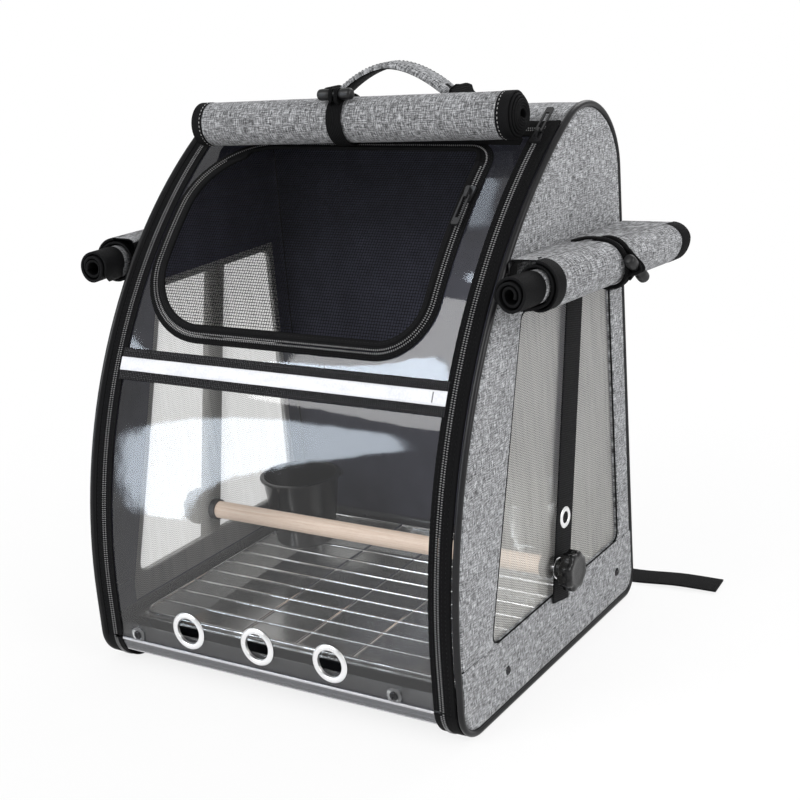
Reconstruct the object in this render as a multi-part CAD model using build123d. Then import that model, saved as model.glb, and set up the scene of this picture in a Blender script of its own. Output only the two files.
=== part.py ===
from build123d import *
from math import atan2, cos, hypot, pi, sin, tan
import os

# A soft-sided backpack carrier for a bird. X runs across the carrier (+X is the right side seen from
# the front), the front faces -Y, +Z is up. The origin is on the ground under the middle of the bag.
# All sizes are in millimetres.

# ---- Bag shell ----
WIDTH = 340.0             # over the two side panels
DEPTH = 292.0             # from the front plane to the back panel
HEIGHT = 420.0            # from the ground to the top of the crown
CROWN_RADIUS = 58.0       # top back corner, seen from the side
FRONT_STRAIGHT = 60.0     # height at which the front starts to lean back
FRONT_CORNER = 26.0       # bottom front corner radius of the side panels
BACK_CORNER = 18.0        # bottom back corner radius of the side panels
PANEL = 4.0               # boarded fabric of a side panel
BACK_PAD = 5.0            # padded back and crown panel
PIPE_RADIUS = 2.5         # piping cord round each side panel
PIPE_PROUD = 1.0          # how far the piping stands above the front and crown faces
BOARD = 3.0               # base board
FRONT_SETBACK = 36.0      # the base touches the ground from here back
BACK_SETBACK = 22.0
BOARD_BACK = 10.8         # height of the board's back edge
SKIRT_HEIGHT = 57.5       # seam between the lower skirt and the side panel
SEAM_GAP = 0.2            # between sewn pieces that lie side by side
MOVE_GAP = 0.4            # between pieces that move past each other

# ---- Side windows, straps and covers ----
WINDOW_FRONT = 48.6       # front lower corner of the window, from the front plane
WINDOW_LEAN = 0.306       # how far the window's front edge moves back per unit of height
WINDOW_BACK = 264.0
WINDOW_TOP = 286.0
WINDOW_CORNER = 8.0
MESH = 0.6
MESH_LAP = 6.0            # mesh sewn behind the edge of its window
STRAP_WIDTH = 26.0
STRAP = 1.6
STRAP_TOP = 298.0
STRAP_BOTTOM = 50.0
STRAP_LEAN = 0.2
STRAP_FOOT = {"right": 158.0, "left": 152.0}   # middle of the strap at the perch's height
EYELET_STEP = 36.0        # from the perch's eyelet to the spare one above it
EYELET_RADIUS = 8.5
EYELET_BORE = 4.5
SIDE_ROLL_RADIUS = 17.0
SIDE_ROLL_HEIGHT = 306.0
SIDE_ROLL_FRONT = 64.0    # front end of the roll's core, from the front plane
SIDE_ROLL_STEP = 32.0     # the outer turn starts this far behind the core's end
SIDE_ROLL_BACK = 286.0
SIDE_ROLL_SPLAY = 27.0    # the back end stands this much further out than the front end
SIDE_ROLL_GAP = 2.0
CORE_RADIUS = 14.0
COVER = 1.5               # rolled cover fabric
COVER_HEM = 14.0          # height of the cover's edge that is sewn to the side panel
COVER_FRONT = 94.0        # where the cover's seam starts, from the front plane
TIE_PLACE = 188.0         # middle of the elastic tie on a side roll, from the front plane
TIE_WIDTH = 10.0
TIE = 1.2

# ---- Front door, zips and mesh door ----
HINGE_HEIGHT = 26.0       # bend line at the bottom of the clear door
SHEET = 0.8               # clear sheet
TAPE = 0.8                # zip tape
COIL_WIDTH = 2.6
COIL = 2.0
BODY_TAPE = 11.2          # zip tape sewn to the side of the bag
DOOR_TAPE = 7.0           # zip tape sewn to the door
DOOR_TOP = 472.0          # top edge of the door, measured along the front profile
TOP_TAPE = 10.0
SILL_BOTTOM = 11.0
SILL_TAB = 7.0            # rounded tab round each front screw
FITTINGS_X = -8.0         # door fittings sit this far from the middle
STRIPE_LOW = 237.0        # reflective webbing, along the front profile
STRIPE_WIDTH = 25.0
STRIPE = 1.2
GROMMET_HEIGHT = 44.0
GROMMET_STEP = 67.0
GROMMET_RADIUS = 15.5
GROMMET_BORE = 10.5
GROMMET_WALL = 1.0
GROMMET_FLANGE = 1.3
MESH_DOOR_MARGINS = (1.4, 19.4)    # clear sheet left beside the mesh door, left and right
MESH_DOOR_DROP = 18.0     # from the door's top edge to the mesh door's frame
MESH_DOOR_HEIGHT = 182.0  # along the front profile, with the fixed head
MESH_DOOR_HEAD = 16.0     # top part that stays on the clear door; the mesh door folds out below it
MESH_DOOR_CORNERS = (65.0, 46.0, 24.0, 70.0)   # low left, low right, high right, high left
FRAME_TAPE = 6.0          # zip tape round the mesh door, on the clear sheet
FRAME_LAP = 3.0           # clear sheet under that tape
FLAP_TAPE = 8.0           # zip tape and binding on the mesh door itself
SLIDER_WIDTH = 9.0
SLIDER_LENGTH = 14.0
SLIDER_TOP = 1.8
SLIDER_DROP = 8.0         # from the door's top edge to the middle of its sliders when it is shut
MESH_SLIDER_DROP = 33.0   # from the mesh door's fold to its slider
PULLER_LENGTH = 26.0
PULLER_WIDTH = 6.0
PULLER = 1.4
BRIDGE_WIDTH = 2.4        # bridge on a slider, which its puller's pin goes through
BRIDGE_WALL = 1.2

# ---- Rolled front cover ----
ROLL_RADIUS = 18.5
ROLL_DROP = 13.0          # from the door's top edge to the roll's seam
ROLL_TILT = 5.0           # each end is this much lower or higher than the middle
ROLL_MARGINS = (23.0, 15.0)        # from the piping to the roll's left and right end
ROLL_GAP = 2.7
ROLL_STEP = 4.0
ROLL_SEAM = 6.0           # sewn edge that joins the rolled cover to the door
ROLL_TIE_X = -2.0
ROLL_TIE_WIDTH = 14.0
TOGGLE_LENGTH = 30.0
TOGGLE_RADIUS = 4.0
TOGGLE_TILT = 40.0        # each side toggle's back end hangs down from the roll's line, in degrees

# ---- Handle ----
HANDLE_SPAN = 118.0
HANDLE_RISE = 32.0        # top of the grip above the crown
HANDLE_WIDTH = 22.0
HANDLE_THICKNESS = 6.0
HANDLE_PIVOT = 7.0        # pivot above the crown
HANDLE_END = 2.5
HANDLE_EYE = 7.0          # radius of the grip's ends and of the tabs they turn on
HANDLE_PLACE = 238.0      # from the front plane

# ---- Perch ----
PERCH_PLACE = 150.0       # from the front plane
PERCH_HEIGHT = 78.0
PERCH_RADIUS = 7.5
PERCH_END_GAP = 6.0       # from the dowel's end to the window mesh
BOLT_RADIUS = 3.0
BOLT_IN_WOOD = 18.0
WASHER_RADIUS = 9.0
KNOB_RADIUS = 16.0
KNOB_LENGTH = 16.0
KNOB_HUB = 9.0
KNOB_LOBES = 8
KNOB_LOBE_RADIUS = 3.2
KNOB_WALL = 5.0           # closed outer end of the knob
RUNNING_FIT = 0.05

# ---- Base fittings ----
RIM = 1.5                 # stiff clear rim inside the base
RIM_TOP = 36.0
RIM_CLEARANCE = 0.4
SCREW_HEIGHT = 30.0
FRONT_SCREWS = 121.5      # each side of the fittings' middle
SIDE_SCREWS = (68.0, 258.0)
BACK_SCREWS = 100.0
SCREW_RADIUS = 1.6
SCREW_HEAD = 3.6
SCREW_HEAD_HEIGHT = 1.6
SCREW_LENGTH = 7.0
TRAY_WALL = 1.0
TRAY_TOP = 29.0
TRAY_CLEARANCE = 2.6      # between the tray's lip and the rim
TRAY_DRAFT = 8.0          # the tray's floor is this much smaller all round than its mouth
TRAY_FRONT = 30.0         # front edge of the tray's lip, from the front plane
TRAY_LIP = 4.0
TRAY_CORNER = 6.0
WIRE_RADIUS = 1.1
FRAME_WIRE_RADIUS = 1.5
GRID_MARGIN = 6.0         # from the tray's lip to the grid's frame
GRID_CORNER = 12.0
GRID_PITCH = 21.5
GRID_BEARERS = 53.0       # each side of the middle
CUP_RADIUS = 34.0
CUP_FOOT = 26.0
CUP_HEIGHT = 60.0
CUP_WALL = 1.8
CUP_LIP = 2.5
CUPS = {"right": (96.0, 246.0), "left": (-116.0, 214.0)}   # x, and distance from the front plane

# ---- Shoulder straps ----
SHOULDER_X = 72.0
SHOULDER_WIDTH = 58.0
SHOULDER_PAD = 11.0
SHOULDER_TOP = 372.0
SHOULDER_BOTTOM = 150.0
SHOULDER_BOW = 24.0
ANCHOR_HEIGHT = 26.0
ANCHOR_X = 146.0
WEB_WIDTH = 25.0
WEB = 1.8
LOCK_HEIGHT = 24.0        # strap buckle, below its pin
LOCK = 4.0
LOCK_PIN = 2.0
LOCK_RAIL = 3.5
LOCK_BAR = 3.5
TAIL_END_X = 238.0        # loose end of the right webbing on the ground
TAIL_TURN = 10.0          # the tail's far end is this much further back
TAIL_SLANT = 5.0
TAIL_SHORT = 22.0         # height of the left webbing's loose end above the ground

# ---- Worked out from the values above ----
HALF = WIDTH / 2
FRONT = -DEPTH / 2
BACK = DEPTH / 2
RUN = DEPTH - CROWN_RADIUS
RISE = HEIGHT - CROWN_RADIUS - FRONT_STRAIGHT
FRONT_RADIUS = (RUN ** 2 + RISE ** 2 - CROWN_RADIUS ** 2) / (2 * (RUN - CROWN_RADIUS))
ARC_Y, ARC_Z = FRONT + FRONT_RADIUS, FRONT_STRAIGHT
CROWN_Y, CROWN_Z = BACK - CROWN_RADIUS, HEIGHT - CROWN_RADIUS
LEAN = atan2(CROWN_Z - ARC_Z, ARC_Y - CROWN_Y)
S_START = FRONT_CORNER - FRONT_CORNER * pi / 2
S_CROWN = FRONT_STRAIGHT + FRONT_RADIUS * LEAN
S_BACK = S_CROWN + CROWN_RADIUS * (pi - LEAN)
S_END = S_BACK + CROWN_Z - BACK_CORNER
INNER = HALF - 2 * PIPE_RADIUS          # between the two lines of piping
DOOR_HALF = INNER - BODY_TAPE - MOVE_GAP
CLEAR_HALF = DOOR_HALF - DOOR_TAPE      # edge of the clear area that shows
MESH_DOOR_LEFT = MESH_DOOR_MARGINS[0] - CLEAR_HALF
MESH_DOOR_RIGHT = CLEAR_HALF - MESH_DOOR_MARGINS[1]
MESH_DOOR_HIGH = DOOR_TOP - MESH_DOOR_DROP
MESH_DOOR_LOW = MESH_DOOR_HIGH - MESH_DOOR_HEIGHT
MESH_DOOR_FOLD = MESH_DOOR_HIGH - MESH_DOOR_HEAD
ROLL_PLACE = DOOR_TOP - ROLL_DROP
ROLL_LEFT, ROLL_RIGHT = ROLL_MARGINS[0] - INNER, INNER - ROLL_MARGINS[1]
FACE = PIPE_PROUD                       # depth of the clear sheet's outer face below the piping
STRAP_OUT = HALF + SEAM_GAP             # inner face of the side straps
MESH_X = HALF - PANEL - SEAM_GAP        # outer face of a side window's mesh

nodes = {}


def path_point(s, inset=0.0):
    """Point (y, z) on the bag's side profile. s is the height on the straight front and runs on up
    the lean, over the crown and down the back; below the straight it follows the bottom corner."""
    if s < FRONT_CORNER:
        turn = (FRONT_CORNER - s) / FRONT_CORNER
        r = FRONT_CORNER - inset
        return FRONT + FRONT_CORNER - r * cos(turn), FRONT_CORNER - r * sin(turn)
    if s <= FRONT_STRAIGHT:
        return FRONT + inset, s
    if s <= S_CROWN:
        turn = (s - FRONT_STRAIGHT) / FRONT_RADIUS
        r = FRONT_RADIUS - inset
        return ARC_Y - r * cos(turn), ARC_Z + r * sin(turn)
    if s <= S_BACK:
        turn = LEAN + (s - S_CROWN) / CROWN_RADIUS
        r = CROWN_RADIUS - inset
        return CROWN_Y - r * cos(turn), CROWN_Z + r * sin(turn)
    return BACK - inset, CROWN_Z - (s - S_BACK)


def heading(s):
    """Angle of the front profile from the vertical at s."""
    return max(0.0, s - FRONT_STRAIGHT) / FRONT_RADIUS


def path_edges(start, end, inset, x):
    joins = [v for v in (FRONT_CORNER, FRONT_STRAIGHT, S_CROWN, S_BACK) if start < v < end]
    stops = [start] + joins + [end]
    edges = []
    for low, high in zip(stops, stops[1:]):
        a, m, b = (Vector(x, *path_point(s, inset)) for s in (low + 1e-9, (low + high) / 2, high))
        straight = low >= S_BACK or (low >= FRONT_CORNER and high <= FRONT_STRAIGHT)
        edges.append(Edge.make_line(a, b) if straight else Edge.make_three_point_arc(a, m, b))
    return edges


def strip(x0, x1, start, end, outer, inner):
    """Curved plate that follows the profile from start to end, between two depths below it."""
    top = path_edges(start, end, outer, x0)
    low = path_edges(start, end, inner, x0)
    sides = [Edge.make_line(a @ k, b @ k) for a, b, k in ((top[0], low[0], 0), (top[-1], low[-1], 1))]
    return extrude(Face(Wire(top + low + sides)), amount=x1 - x0, dir=(1, 0, 0))


def outline_face(inset, x):
    """Whole side profile with its two rounded bottom corners, as a face at x."""
    edges = path_edges(FRONT_CORNER, S_END, inset, x)
    back_y, back_r = BACK - BACK_CORNER, BACK_CORNER - inset
    front_y, front_r = FRONT + FRONT_CORNER, FRONT_CORNER - inset
    half_turn = cos(pi / 4)
    back_mid = Vector(x, back_y + back_r * half_turn, BACK_CORNER - back_r * half_turn)
    front_mid = Vector(x, front_y - front_r * half_turn, FRONT_CORNER - front_r * half_turn)
    low_back, low_front = Vector(x, back_y, inset), Vector(x, front_y, inset)
    edges.append(Edge.make_three_point_arc(edges[-1] @ 1, back_mid, low_back))
    edges.append(Edge.make_line(low_back, low_front))
    edges.append(Edge.make_three_point_arc(low_front, front_mid, edges[0] @ 0))
    return Face(Wire(edges))


def rounded_face(points, radii):
    """Convex outline in the XY plane, corners in anticlockwise order, each with its own radius."""
    edges = []
    ends = []
    count = len(points)
    for i, (corner, r) in enumerate(zip(points, radii)):
        c = Vector(*corner)
        before = (Vector(*points[i - 1]) - c).normalized()
        after = (Vector(*points[(i + 1) % count]) - c).normalized()
        half = before.get_angle(after) * pi / 360
        inward = (before + after).normalized()
        a, b = c + before * (r / tan(half)), c + after * (r / tan(half))
        mid = c + inward * (r / sin(half) - r)
        edges.append(Edge.make_three_point_arc(a, mid, b))
        ends.append((a, b))
    for i in range(count):
        edges.append(Edge.make_line(ends[i][1], ends[(i + 1) % count][0]))
    return Face(Wire(edges))


def plate(plane, face, low, high):
    """Solid from a flat XY face placed on a plane, between two heights above that plane."""
    return extrude(plane.offset(low).location * face, amount=high - low, dir=plane.z_dir)


def side_plane(x):
    """Local x is the carrier's Y, local y is its Z, and the normal is +X."""
    return Plane(origin=(x, 0, 0), x_dir=(0, 1, 0), z_dir=(1, 0, 0))


def round_bar(start, end, radius):
    axis = Vector(*end) - Vector(*start)
    plane = Plane(origin=start, z_dir=axis)
    return extrude(plane.location * Face(Wire.make_circle(radius)), amount=axis.length, dir=plane.z_dir)


def box(x, y, z):
    """Box from three (low, high) pairs."""
    size = [b - a for a, b in (x, y, z)]
    middle = [(a + b) / 2 for a, b in (x, y, z)]
    return Pos(*middle) * Box(*size)


def group(*shapes):
    """Separate solids of one node."""
    return Compound([solid for shape in shapes for solid in shape.solids()])


def flip(shape):
    return mirror(shape, about=Plane.YZ)


def both_sides(name, shape):
    nodes[name + "_right"] = shape
    nodes[name + "_left"] = flip(shape)


# ---- Bag shell ----
def board_front():
    """Lower front edge of the base board (y, z), just behind the sill."""
    return path_point(SILL_BOTTOM - MOVE_GAP, FACE + SHEET + SEAM_GAP)


def base_board():
    back_low = (BACK - BACK_PAD, BOARD_BACK)
    lower = [board_front(), (FRONT + FRONT_SETBACK, 0), (BACK - BACK_SETBACK, 0), back_low]
    upper = [(y, z + BOARD) for y, z in reversed(lower)]
    face = Face(Wire.make_polygon([Vector(-INNER, *p) for p in lower + upper], close=True))
    return extrude(face, amount=2 * INNER, dir=(1, 0, 0))


def back_panel():
    low = BOARD_BACK + BOARD + SEAM_GAP
    return box((-INNER, INNER), (BACK - BACK_PAD, BACK - PIPE_PROUD), (low, CROWN_Z))


def window_face(grow):
    low, high = SKIRT_HEIGHT, WINDOW_TOP
    slope = [FRONT + WINDOW_FRONT + WINDOW_LEAN * (z - SKIRT_HEIGHT) for z in (low, high)]
    back = FRONT + WINDOW_BACK + grow
    points = [(slope[0] - grow, low - grow), (back, low - grow), (back, high + grow),
              (slope[1] - grow, high + grow)]
    return rounded_face(points, [WINDOW_CORNER + grow] * 4)


def side_panels():
    whole = extrude(outline_face(2 * PIPE_RADIUS, HALF - PANEL), amount=PANEL, dir=(1, 0, 0))
    across = (HALF - PANEL - 1, HALF + 1)
    upper = box(across, (FRONT, BACK), (SKIRT_HEIGHT, HEIGHT))
    lower = box(across, (FRONT, BACK), (0, SKIRT_HEIGHT - SEAM_GAP))
    window = plate(side_plane(HALF), window_face(0), -PANEL - 1, 1)
    both_sides("side_panel", (whole & upper) - window)
    holes = [round_bar((HALF - PANEL - 1, FRONT + y, SCREW_HEIGHT), (HALF + 1, FRONT + y, SCREW_HEIGHT),
                       SCREW_RADIUS) for y in SIDE_SCREWS]
    both_sides("side_skirt", (whole & lower) - holes)


def side_windows():
    bolt_hole = round_bar((MESH_X - 2, FRONT + PERCH_PLACE, PERCH_HEIGHT),
                          (MESH_X + 2, FRONT + PERCH_PLACE, PERCH_HEIGHT), EYELET_BORE)
    low_cut = box((MESH_X - 2, MESH_X + 2), (FRONT, BACK), (0, RIM_TOP + RIM_CLEARANCE))
    sheet = plate(side_plane(MESH_X), window_face(MESH_LAP), -MESH, 0)
    both_sides("side_mesh", sheet - bolt_hole - low_cut)


def strap_middle(side, z):
    return FRONT + STRAP_FOOT[side] + STRAP_LEAN * (z - PERCH_HEIGHT)


def eyelet_points(side):
    upper = PERCH_HEIGHT + EYELET_STEP
    return [(FRONT + PERCH_PLACE, PERCH_HEIGHT), (strap_middle(side, upper), upper)]


def side_straps():
    rings = []
    for side, turn in (("right", lambda s: s), ("left", flip)):
        half = STRAP_WIDTH / 2
        corners = [(strap_middle(side, z) + dy, z) for z, dy in
                   ((STRAP_BOTTOM, -half), (STRAP_BOTTOM, half), (STRAP_TOP, half), (STRAP_TOP, -half))]
        plane = side_plane(STRAP_OUT)
        web = plate(plane, Face(Wire.make_polygon([Vector(*p) for p in corners], close=True)), 0, STRAP)
        eyelets = []
        for y, z in eyelet_points(side):
            start = STRAP_OUT
            web -= round_bar((start - 1, y, z), (start + STRAP + 1, y, z), EYELET_BORE + GROMMET_WALL)
            barrel = round_bar((start, y, z), (start + STRAP, y, z), EYELET_BORE + GROMMET_WALL)
            flange = round_bar((start + STRAP, y, z), (start + STRAP + 1, y, z), EYELET_RADIUS)
            bore = round_bar((start - 1, y, z), (start + STRAP + 2, y, z), EYELET_BORE)
            eyelets.append(barrel + flange - bore)
        nodes["perch_strap_" + side] = turn(web)
        rings += [turn(ring) for ring in eyelets]
    nodes["strap_eyelets"] = group(*rings)


def side_piping():
    line = outline_face(PIPE_RADIUS, HALF - PIPE_RADIUS).outer_wire()
    start = line.edges()[0]
    section = Plane(origin=start @ 0, z_dir=start % 0).location * Face(Wire.make_circle(PIPE_RADIUS))
    both_sides("side_piping", sweep(section, path=line))


def shell():
    nodes["base_board"] = base_board()
    nodes["back_panel"] = back_panel()
    top_start = DOOR_TOP + MOVE_GAP + TOP_TAPE + SEAM_GAP
    nodes["crown_panel"] = strip(-INNER, INNER, top_start, S_BACK, PIPE_PROUD, BACK_PAD)
    side_panels()
    side_windows()
    side_straps()
    side_piping()


# ---- Zips ----
def body_zip():
    tape_top = DOOR_TOP + MOVE_GAP + TOP_TAPE
    depth = (FACE - TAPE, FACE)
    inner = INNER - BODY_TAPE
    foot_top = HINGE_HEIGHT - TAPE - 2 * MOVE_GAP    # clear of the door's own tape as the door folds down
    side = strip(inner, INNER, foot_top + SEAM_GAP, tape_top, *depth)
    foot = strip(CLEAR_HALF + SEAM_GAP, INNER, S_START + BOARD, foot_top, *depth)
    top = strip(-inner + SEAM_GAP, inner - SEAM_GAP, DOOR_TOP + MOVE_GAP, tape_top, *depth)
    nodes["body_zip_tapes"] = group(side, flip(side), foot, flip(foot), top)
    coil = strip(inner, inner + COIL_WIDTH, HINGE_HEIGHT, tape_top, FACE, FACE + COIL)
    coil_low = DOOR_TOP + MOVE_GAP
    top_coil = strip(-inner + SEAM_GAP, inner - SEAM_GAP, coil_low, coil_low + COIL_WIDTH, FACE, FACE + COIL)
    nodes["body_zip_coils"] = group(coil, flip(coil), top_coil)


def door_zip():
    low = HINGE_HEIGHT + MOVE_GAP
    side = strip(CLEAR_HALF, DOOR_HALF, low, DOOR_TOP, FACE - TAPE, FACE)
    top = strip(-CLEAR_HALF, CLEAR_HALF, DOOR_TOP - DOOR_TAPE, DOOR_TOP, FACE - TAPE, FACE)
    nodes["door_zip_tape"] = side + flip(side) + top
    coil_low = DOOR_TOP - COIL_WIDTH
    coil = strip(DOOR_HALF - COIL_WIDTH, DOOR_HALF, low, DOOR_TOP, FACE, FACE + COIL)
    top_coil = strip(-DOOR_HALF + COIL_WIDTH, DOOR_HALF - COIL_WIDTH, coil_low, DOOR_TOP, FACE, FACE + COIL)
    nodes["door_zip_coil"] = coil + flip(coil) + top_coil


# ---- Clear front ----
def front_screw_points():
    return [(FITTINGS_X + side * FRONT_SCREWS, SCREW_HEIGHT) for side in (-1, 1)]


def tab_shape(x, z, radius, low, depth):
    """Rounded tab on the front face: a disc on a straight foot."""
    disc = round_bar((x, FRONT + depth[0], z), (x, FRONT + depth[1], z), radius)
    return disc + box((x - radius, x + radius), (FRONT + depth[0], FRONT + depth[1]), (low, z))


def front_sill():
    low, high = SILL_BOTTOM, HINGE_HEIGHT - SEAM_GAP
    sill = strip(-CLEAR_HALF, CLEAR_HALF, low, high, FACE, FACE + SHEET)
    for x, z in front_screw_points():
        sill += tab_shape(x, z, SILL_TAB - MOVE_GAP, high - 1, (FACE, FACE + SHEET))
        sill -= round_bar((x, FRONT - 1, z), (x, FRONT + 5, z), SCREW_RADIUS)
    return sill


def mesh_door_plane():
    """Plane that touches the front face in the middle of the mesh door, local y up the face."""
    middle = (MESH_DOOR_LOW + MESH_DOOR_HIGH) / 2
    turn = heading(middle)
    return Plane(origin=(0, *path_point(middle, FACE)), x_dir=(1, 0, 0), z_dir=(0, -cos(turn), sin(turn)))


def mesh_door_cutter(shrink):
    """Prism with the mesh door's outline, drawn in by shrink."""
    half = (MESH_DOOR_HIGH - MESH_DOOR_LOW) / 2 - shrink
    left, right = MESH_DOOR_LEFT + shrink, MESH_DOOR_RIGHT - shrink
    points = [(left, -half), (right, -half), (right, half), (left, half)]
    reach = MESH_DOOR_HIGH - MESH_DOOR_LOW
    return plate(mesh_door_plane(), rounded_face(points, [r - shrink for r in MESH_DOOR_CORNERS]),
                 -reach / 4, reach / 8)


def door_strip(outer, inner, edge=1.0):
    """Piece of the front face a little larger than the mesh door."""
    low, high = MESH_DOOR_LOW - 5 * edge, MESH_DOOR_HIGH + 5 * edge
    return strip(MESH_DOOR_LEFT - edge, MESH_DOOR_RIGHT + edge, low, high, outer, inner)


def clear_door():
    sheet_half = DOOR_HALF - COIL_WIDTH - SEAM_GAP
    sheet = strip(-sheet_half, sheet_half, HINGE_HEIGHT + MOVE_GAP, DOOR_TOP - COIL_WIDTH - SEAM_GAP,
                  FACE, FACE + SHEET)
    sheet -= mesh_door_cutter(FRAME_LAP)
    for x in grommet_places():
        sheet -= round_bar((x, FRONT - 1, GROMMET_HEIGHT), (x, FRONT + 5, GROMMET_HEIGHT),
                           GROMMET_BORE + GROMMET_WALL)
    for x, z in front_screw_points():
        sheet -= tab_shape(x, z, SILL_TAB, HINGE_HEIGHT - 2, (FACE - 1, FACE + SHEET + 1))
    return sheet


def grommet_places():
    return [FITTINGS_X + step * GROMMET_STEP for step in (-1, 0, 1)]


def grommet(x):
    outer = FRONT + FACE
    inner = outer + SHEET
    z = GROMMET_HEIGHT
    barrel = round_bar((x, outer, z), (x, inner, z), GROMMET_BORE + GROMMET_WALL)
    front = round_bar((x, outer - GROMMET_FLANGE, z), (x, outer, z), GROMMET_RADIUS)
    back = round_bar((x, inner, z), (x, inner + GROMMET_FLANGE, z), GROMMET_RADIUS - 1)
    ring = front + barrel + back - round_bar((x, outer - 5, z), (x, inner + 5, z), GROMMET_BORE)
    return chamfer(ring.edges().filter_by(GeomType.CIRCLE).group_by(Axis.Y)[0], GROMMET_FLANGE * 0.35)


def mesh_door():
    tape, coil = door_strip(FACE - TAPE, FACE), door_strip(FACE - TAPE - COIL / 2, FACE - TAPE + SEAM_GAP)
    outer_coil = mesh_door_cutter(FRAME_TAPE - COIL_WIDTH) - mesh_door_cutter(FRAME_TAPE)
    frame = (tape & (mesh_door_cutter(0) - mesh_door_cutter(FRAME_TAPE))) + (coil & outer_coil)
    split = FRAME_TAPE + MOVE_GAP
    opening = mesh_door_cutter(split + FLAP_TAPE)
    inner_coil = mesh_door_cutter(split) - mesh_door_cutter(split + COIL_WIDTH)
    binding = (tape & (mesh_door_cutter(split) - opening)) + (coil & inner_coil)
    mesh = door_strip(FACE, FACE + MESH) & mesh_door_cutter(split + MOVE_GAP)
    depth = (-COIL, FACE + SHEET)
    flap = strip(-HALF, HALF, MESH_DOOR_LOW - FRAME_TAPE, MESH_DOOR_FOLD - MOVE_GAP, *depth)
    head = strip(-HALF, HALF, MESH_DOOR_FOLD + MOVE_GAP, MESH_DOOR_HIGH + FRAME_TAPE, *depth)
    nodes["mesh_zip_frame"] = frame + (((tape & (mesh_door_cutter(0) - opening)) + mesh) & head)
    nodes["mesh_door_binding"] = binding & flap
    nodes["mesh_door_mesh"] = mesh & flap


def along_front(s, x, lift, way):
    """Plane on the front face at s, normal outwards. With way 1 local x runs to the right and local y
    up the face, with way -1 local x runs to the left and local y down the face."""
    turn = heading(s)
    return Plane(origin=(x, *path_point(s, -lift)), x_dir=(way, 0, 0), z_dir=(0, -cos(turn), sin(turn)))


def zip_slider(plane):
    """Slider body over the zip, with the bridge that its puller hangs on, and the puller, towards -y."""
    half_w, half_l = SLIDER_WIDTH / 2, SLIDER_LENGTH / 2
    outline = [(-half_w * 0.7, -half_l), (half_w * 0.7, -half_l), (half_w, half_l), (-half_w, half_l)]
    body = plate(plane, rounded_face(outline, [1.5] * 4), 0, SLIDER_TOP)
    post_w, post_l = BRIDGE_WIDTH / 2, half_l * 0.7
    post_corners = [(-post_w, -post_l), (post_w, -post_l), (post_w, post_l), (-post_w, post_l)]
    post = rounded_face(post_corners, [0.5] * 4)
    tunnel_top = SLIDER_TOP + PULLER + 2 * SEAM_GAP
    bridge = plate(plane, post, SLIDER_TOP, tunnel_top + BRIDGE_WALL)
    tunnel_l = post_l - BRIDGE_WALL
    tunnel = box((-post_w - 1, post_w + 1), (-tunnel_l, tunnel_l), (SLIDER_TOP, tunnel_top))
    body = body + bridge - plane.location * tunnel
    pin_r = PULLER / 2
    eye_y = -post_l + BRIDGE_WALL + pin_r + SEAM_GAP
    eye_z = SLIDER_TOP + SEAM_GAP + pin_r
    half_p = PULLER_WIDTH / 2
    low = eye_y - PULLER_LENGTH
    tab_outline = [(-half_p, low), (half_p, low), (half_p, eye_y), (-half_p, eye_y)]
    tab = plate(plane, rounded_face(tab_outline, [1.5, 1.5, 0.1, 0.1]), eye_z - pin_r, eye_z + pin_r)
    slot_w = post_w + MOVE_GAP
    slot = box((-slot_w, slot_w), (low + 6, eye_y + 1), (SLIDER_TOP - 1, tunnel_top + 1))
    pin = Pos(0, eye_y, eye_z) * Rot(0, 90, 0) * Cylinder(pin_r, PULLER_WIDTH)
    return body, tab - plane.location * slot + plane.location * pin


def sliders():
    coil_x = DOOR_HALF + MOVE_GAP / 2
    lift = TAPE - FACE + SEAM_GAP
    body, tab = zip_slider(along_front(DOOR_TOP - SLIDER_DROP, coil_x, lift, -1))
    both_sides("door_slider", body)
    both_sides("door_puller", tab)
    mesh_x = MESH_DOOR_RIGHT - FRAME_TAPE - MOVE_GAP / 2
    mesh_plane = along_front(MESH_DOOR_FOLD - MESH_SLIDER_DROP, mesh_x, lift + COIL / 2, 1)
    nodes["mesh_slider"], nodes["mesh_puller"] = zip_slider(mesh_plane)


def clear_front():
    nodes["front_sill"] = front_sill()
    nodes["clear_door"] = clear_door()
    stripe_half = DOOR_HALF + MOVE_GAP / 2 - SLIDER_WIDTH / 2 - MOVE_GAP
    nodes["reflective_webbing"] = strip(-stripe_half, stripe_half, STRIPE_LOW, STRIPE_LOW + STRIPE_WIDTH,
                                        FACE - TAPE - STRIPE, FACE - TAPE)
    nodes["door_grommets"] = group(*[grommet(x) for x in grommet_places()])
    mesh_door()
    sliders()


# ---- Rolled covers ----
def roll_end(x):
    share = (x - ROLL_LEFT) / (ROLL_RIGHT - ROLL_LEFT)
    s = ROLL_PLACE - ROLL_TILT + 2 * ROLL_TILT * share
    return (x, *path_point(s, -(ROLL_RADIUS + ROLL_GAP)))


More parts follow.
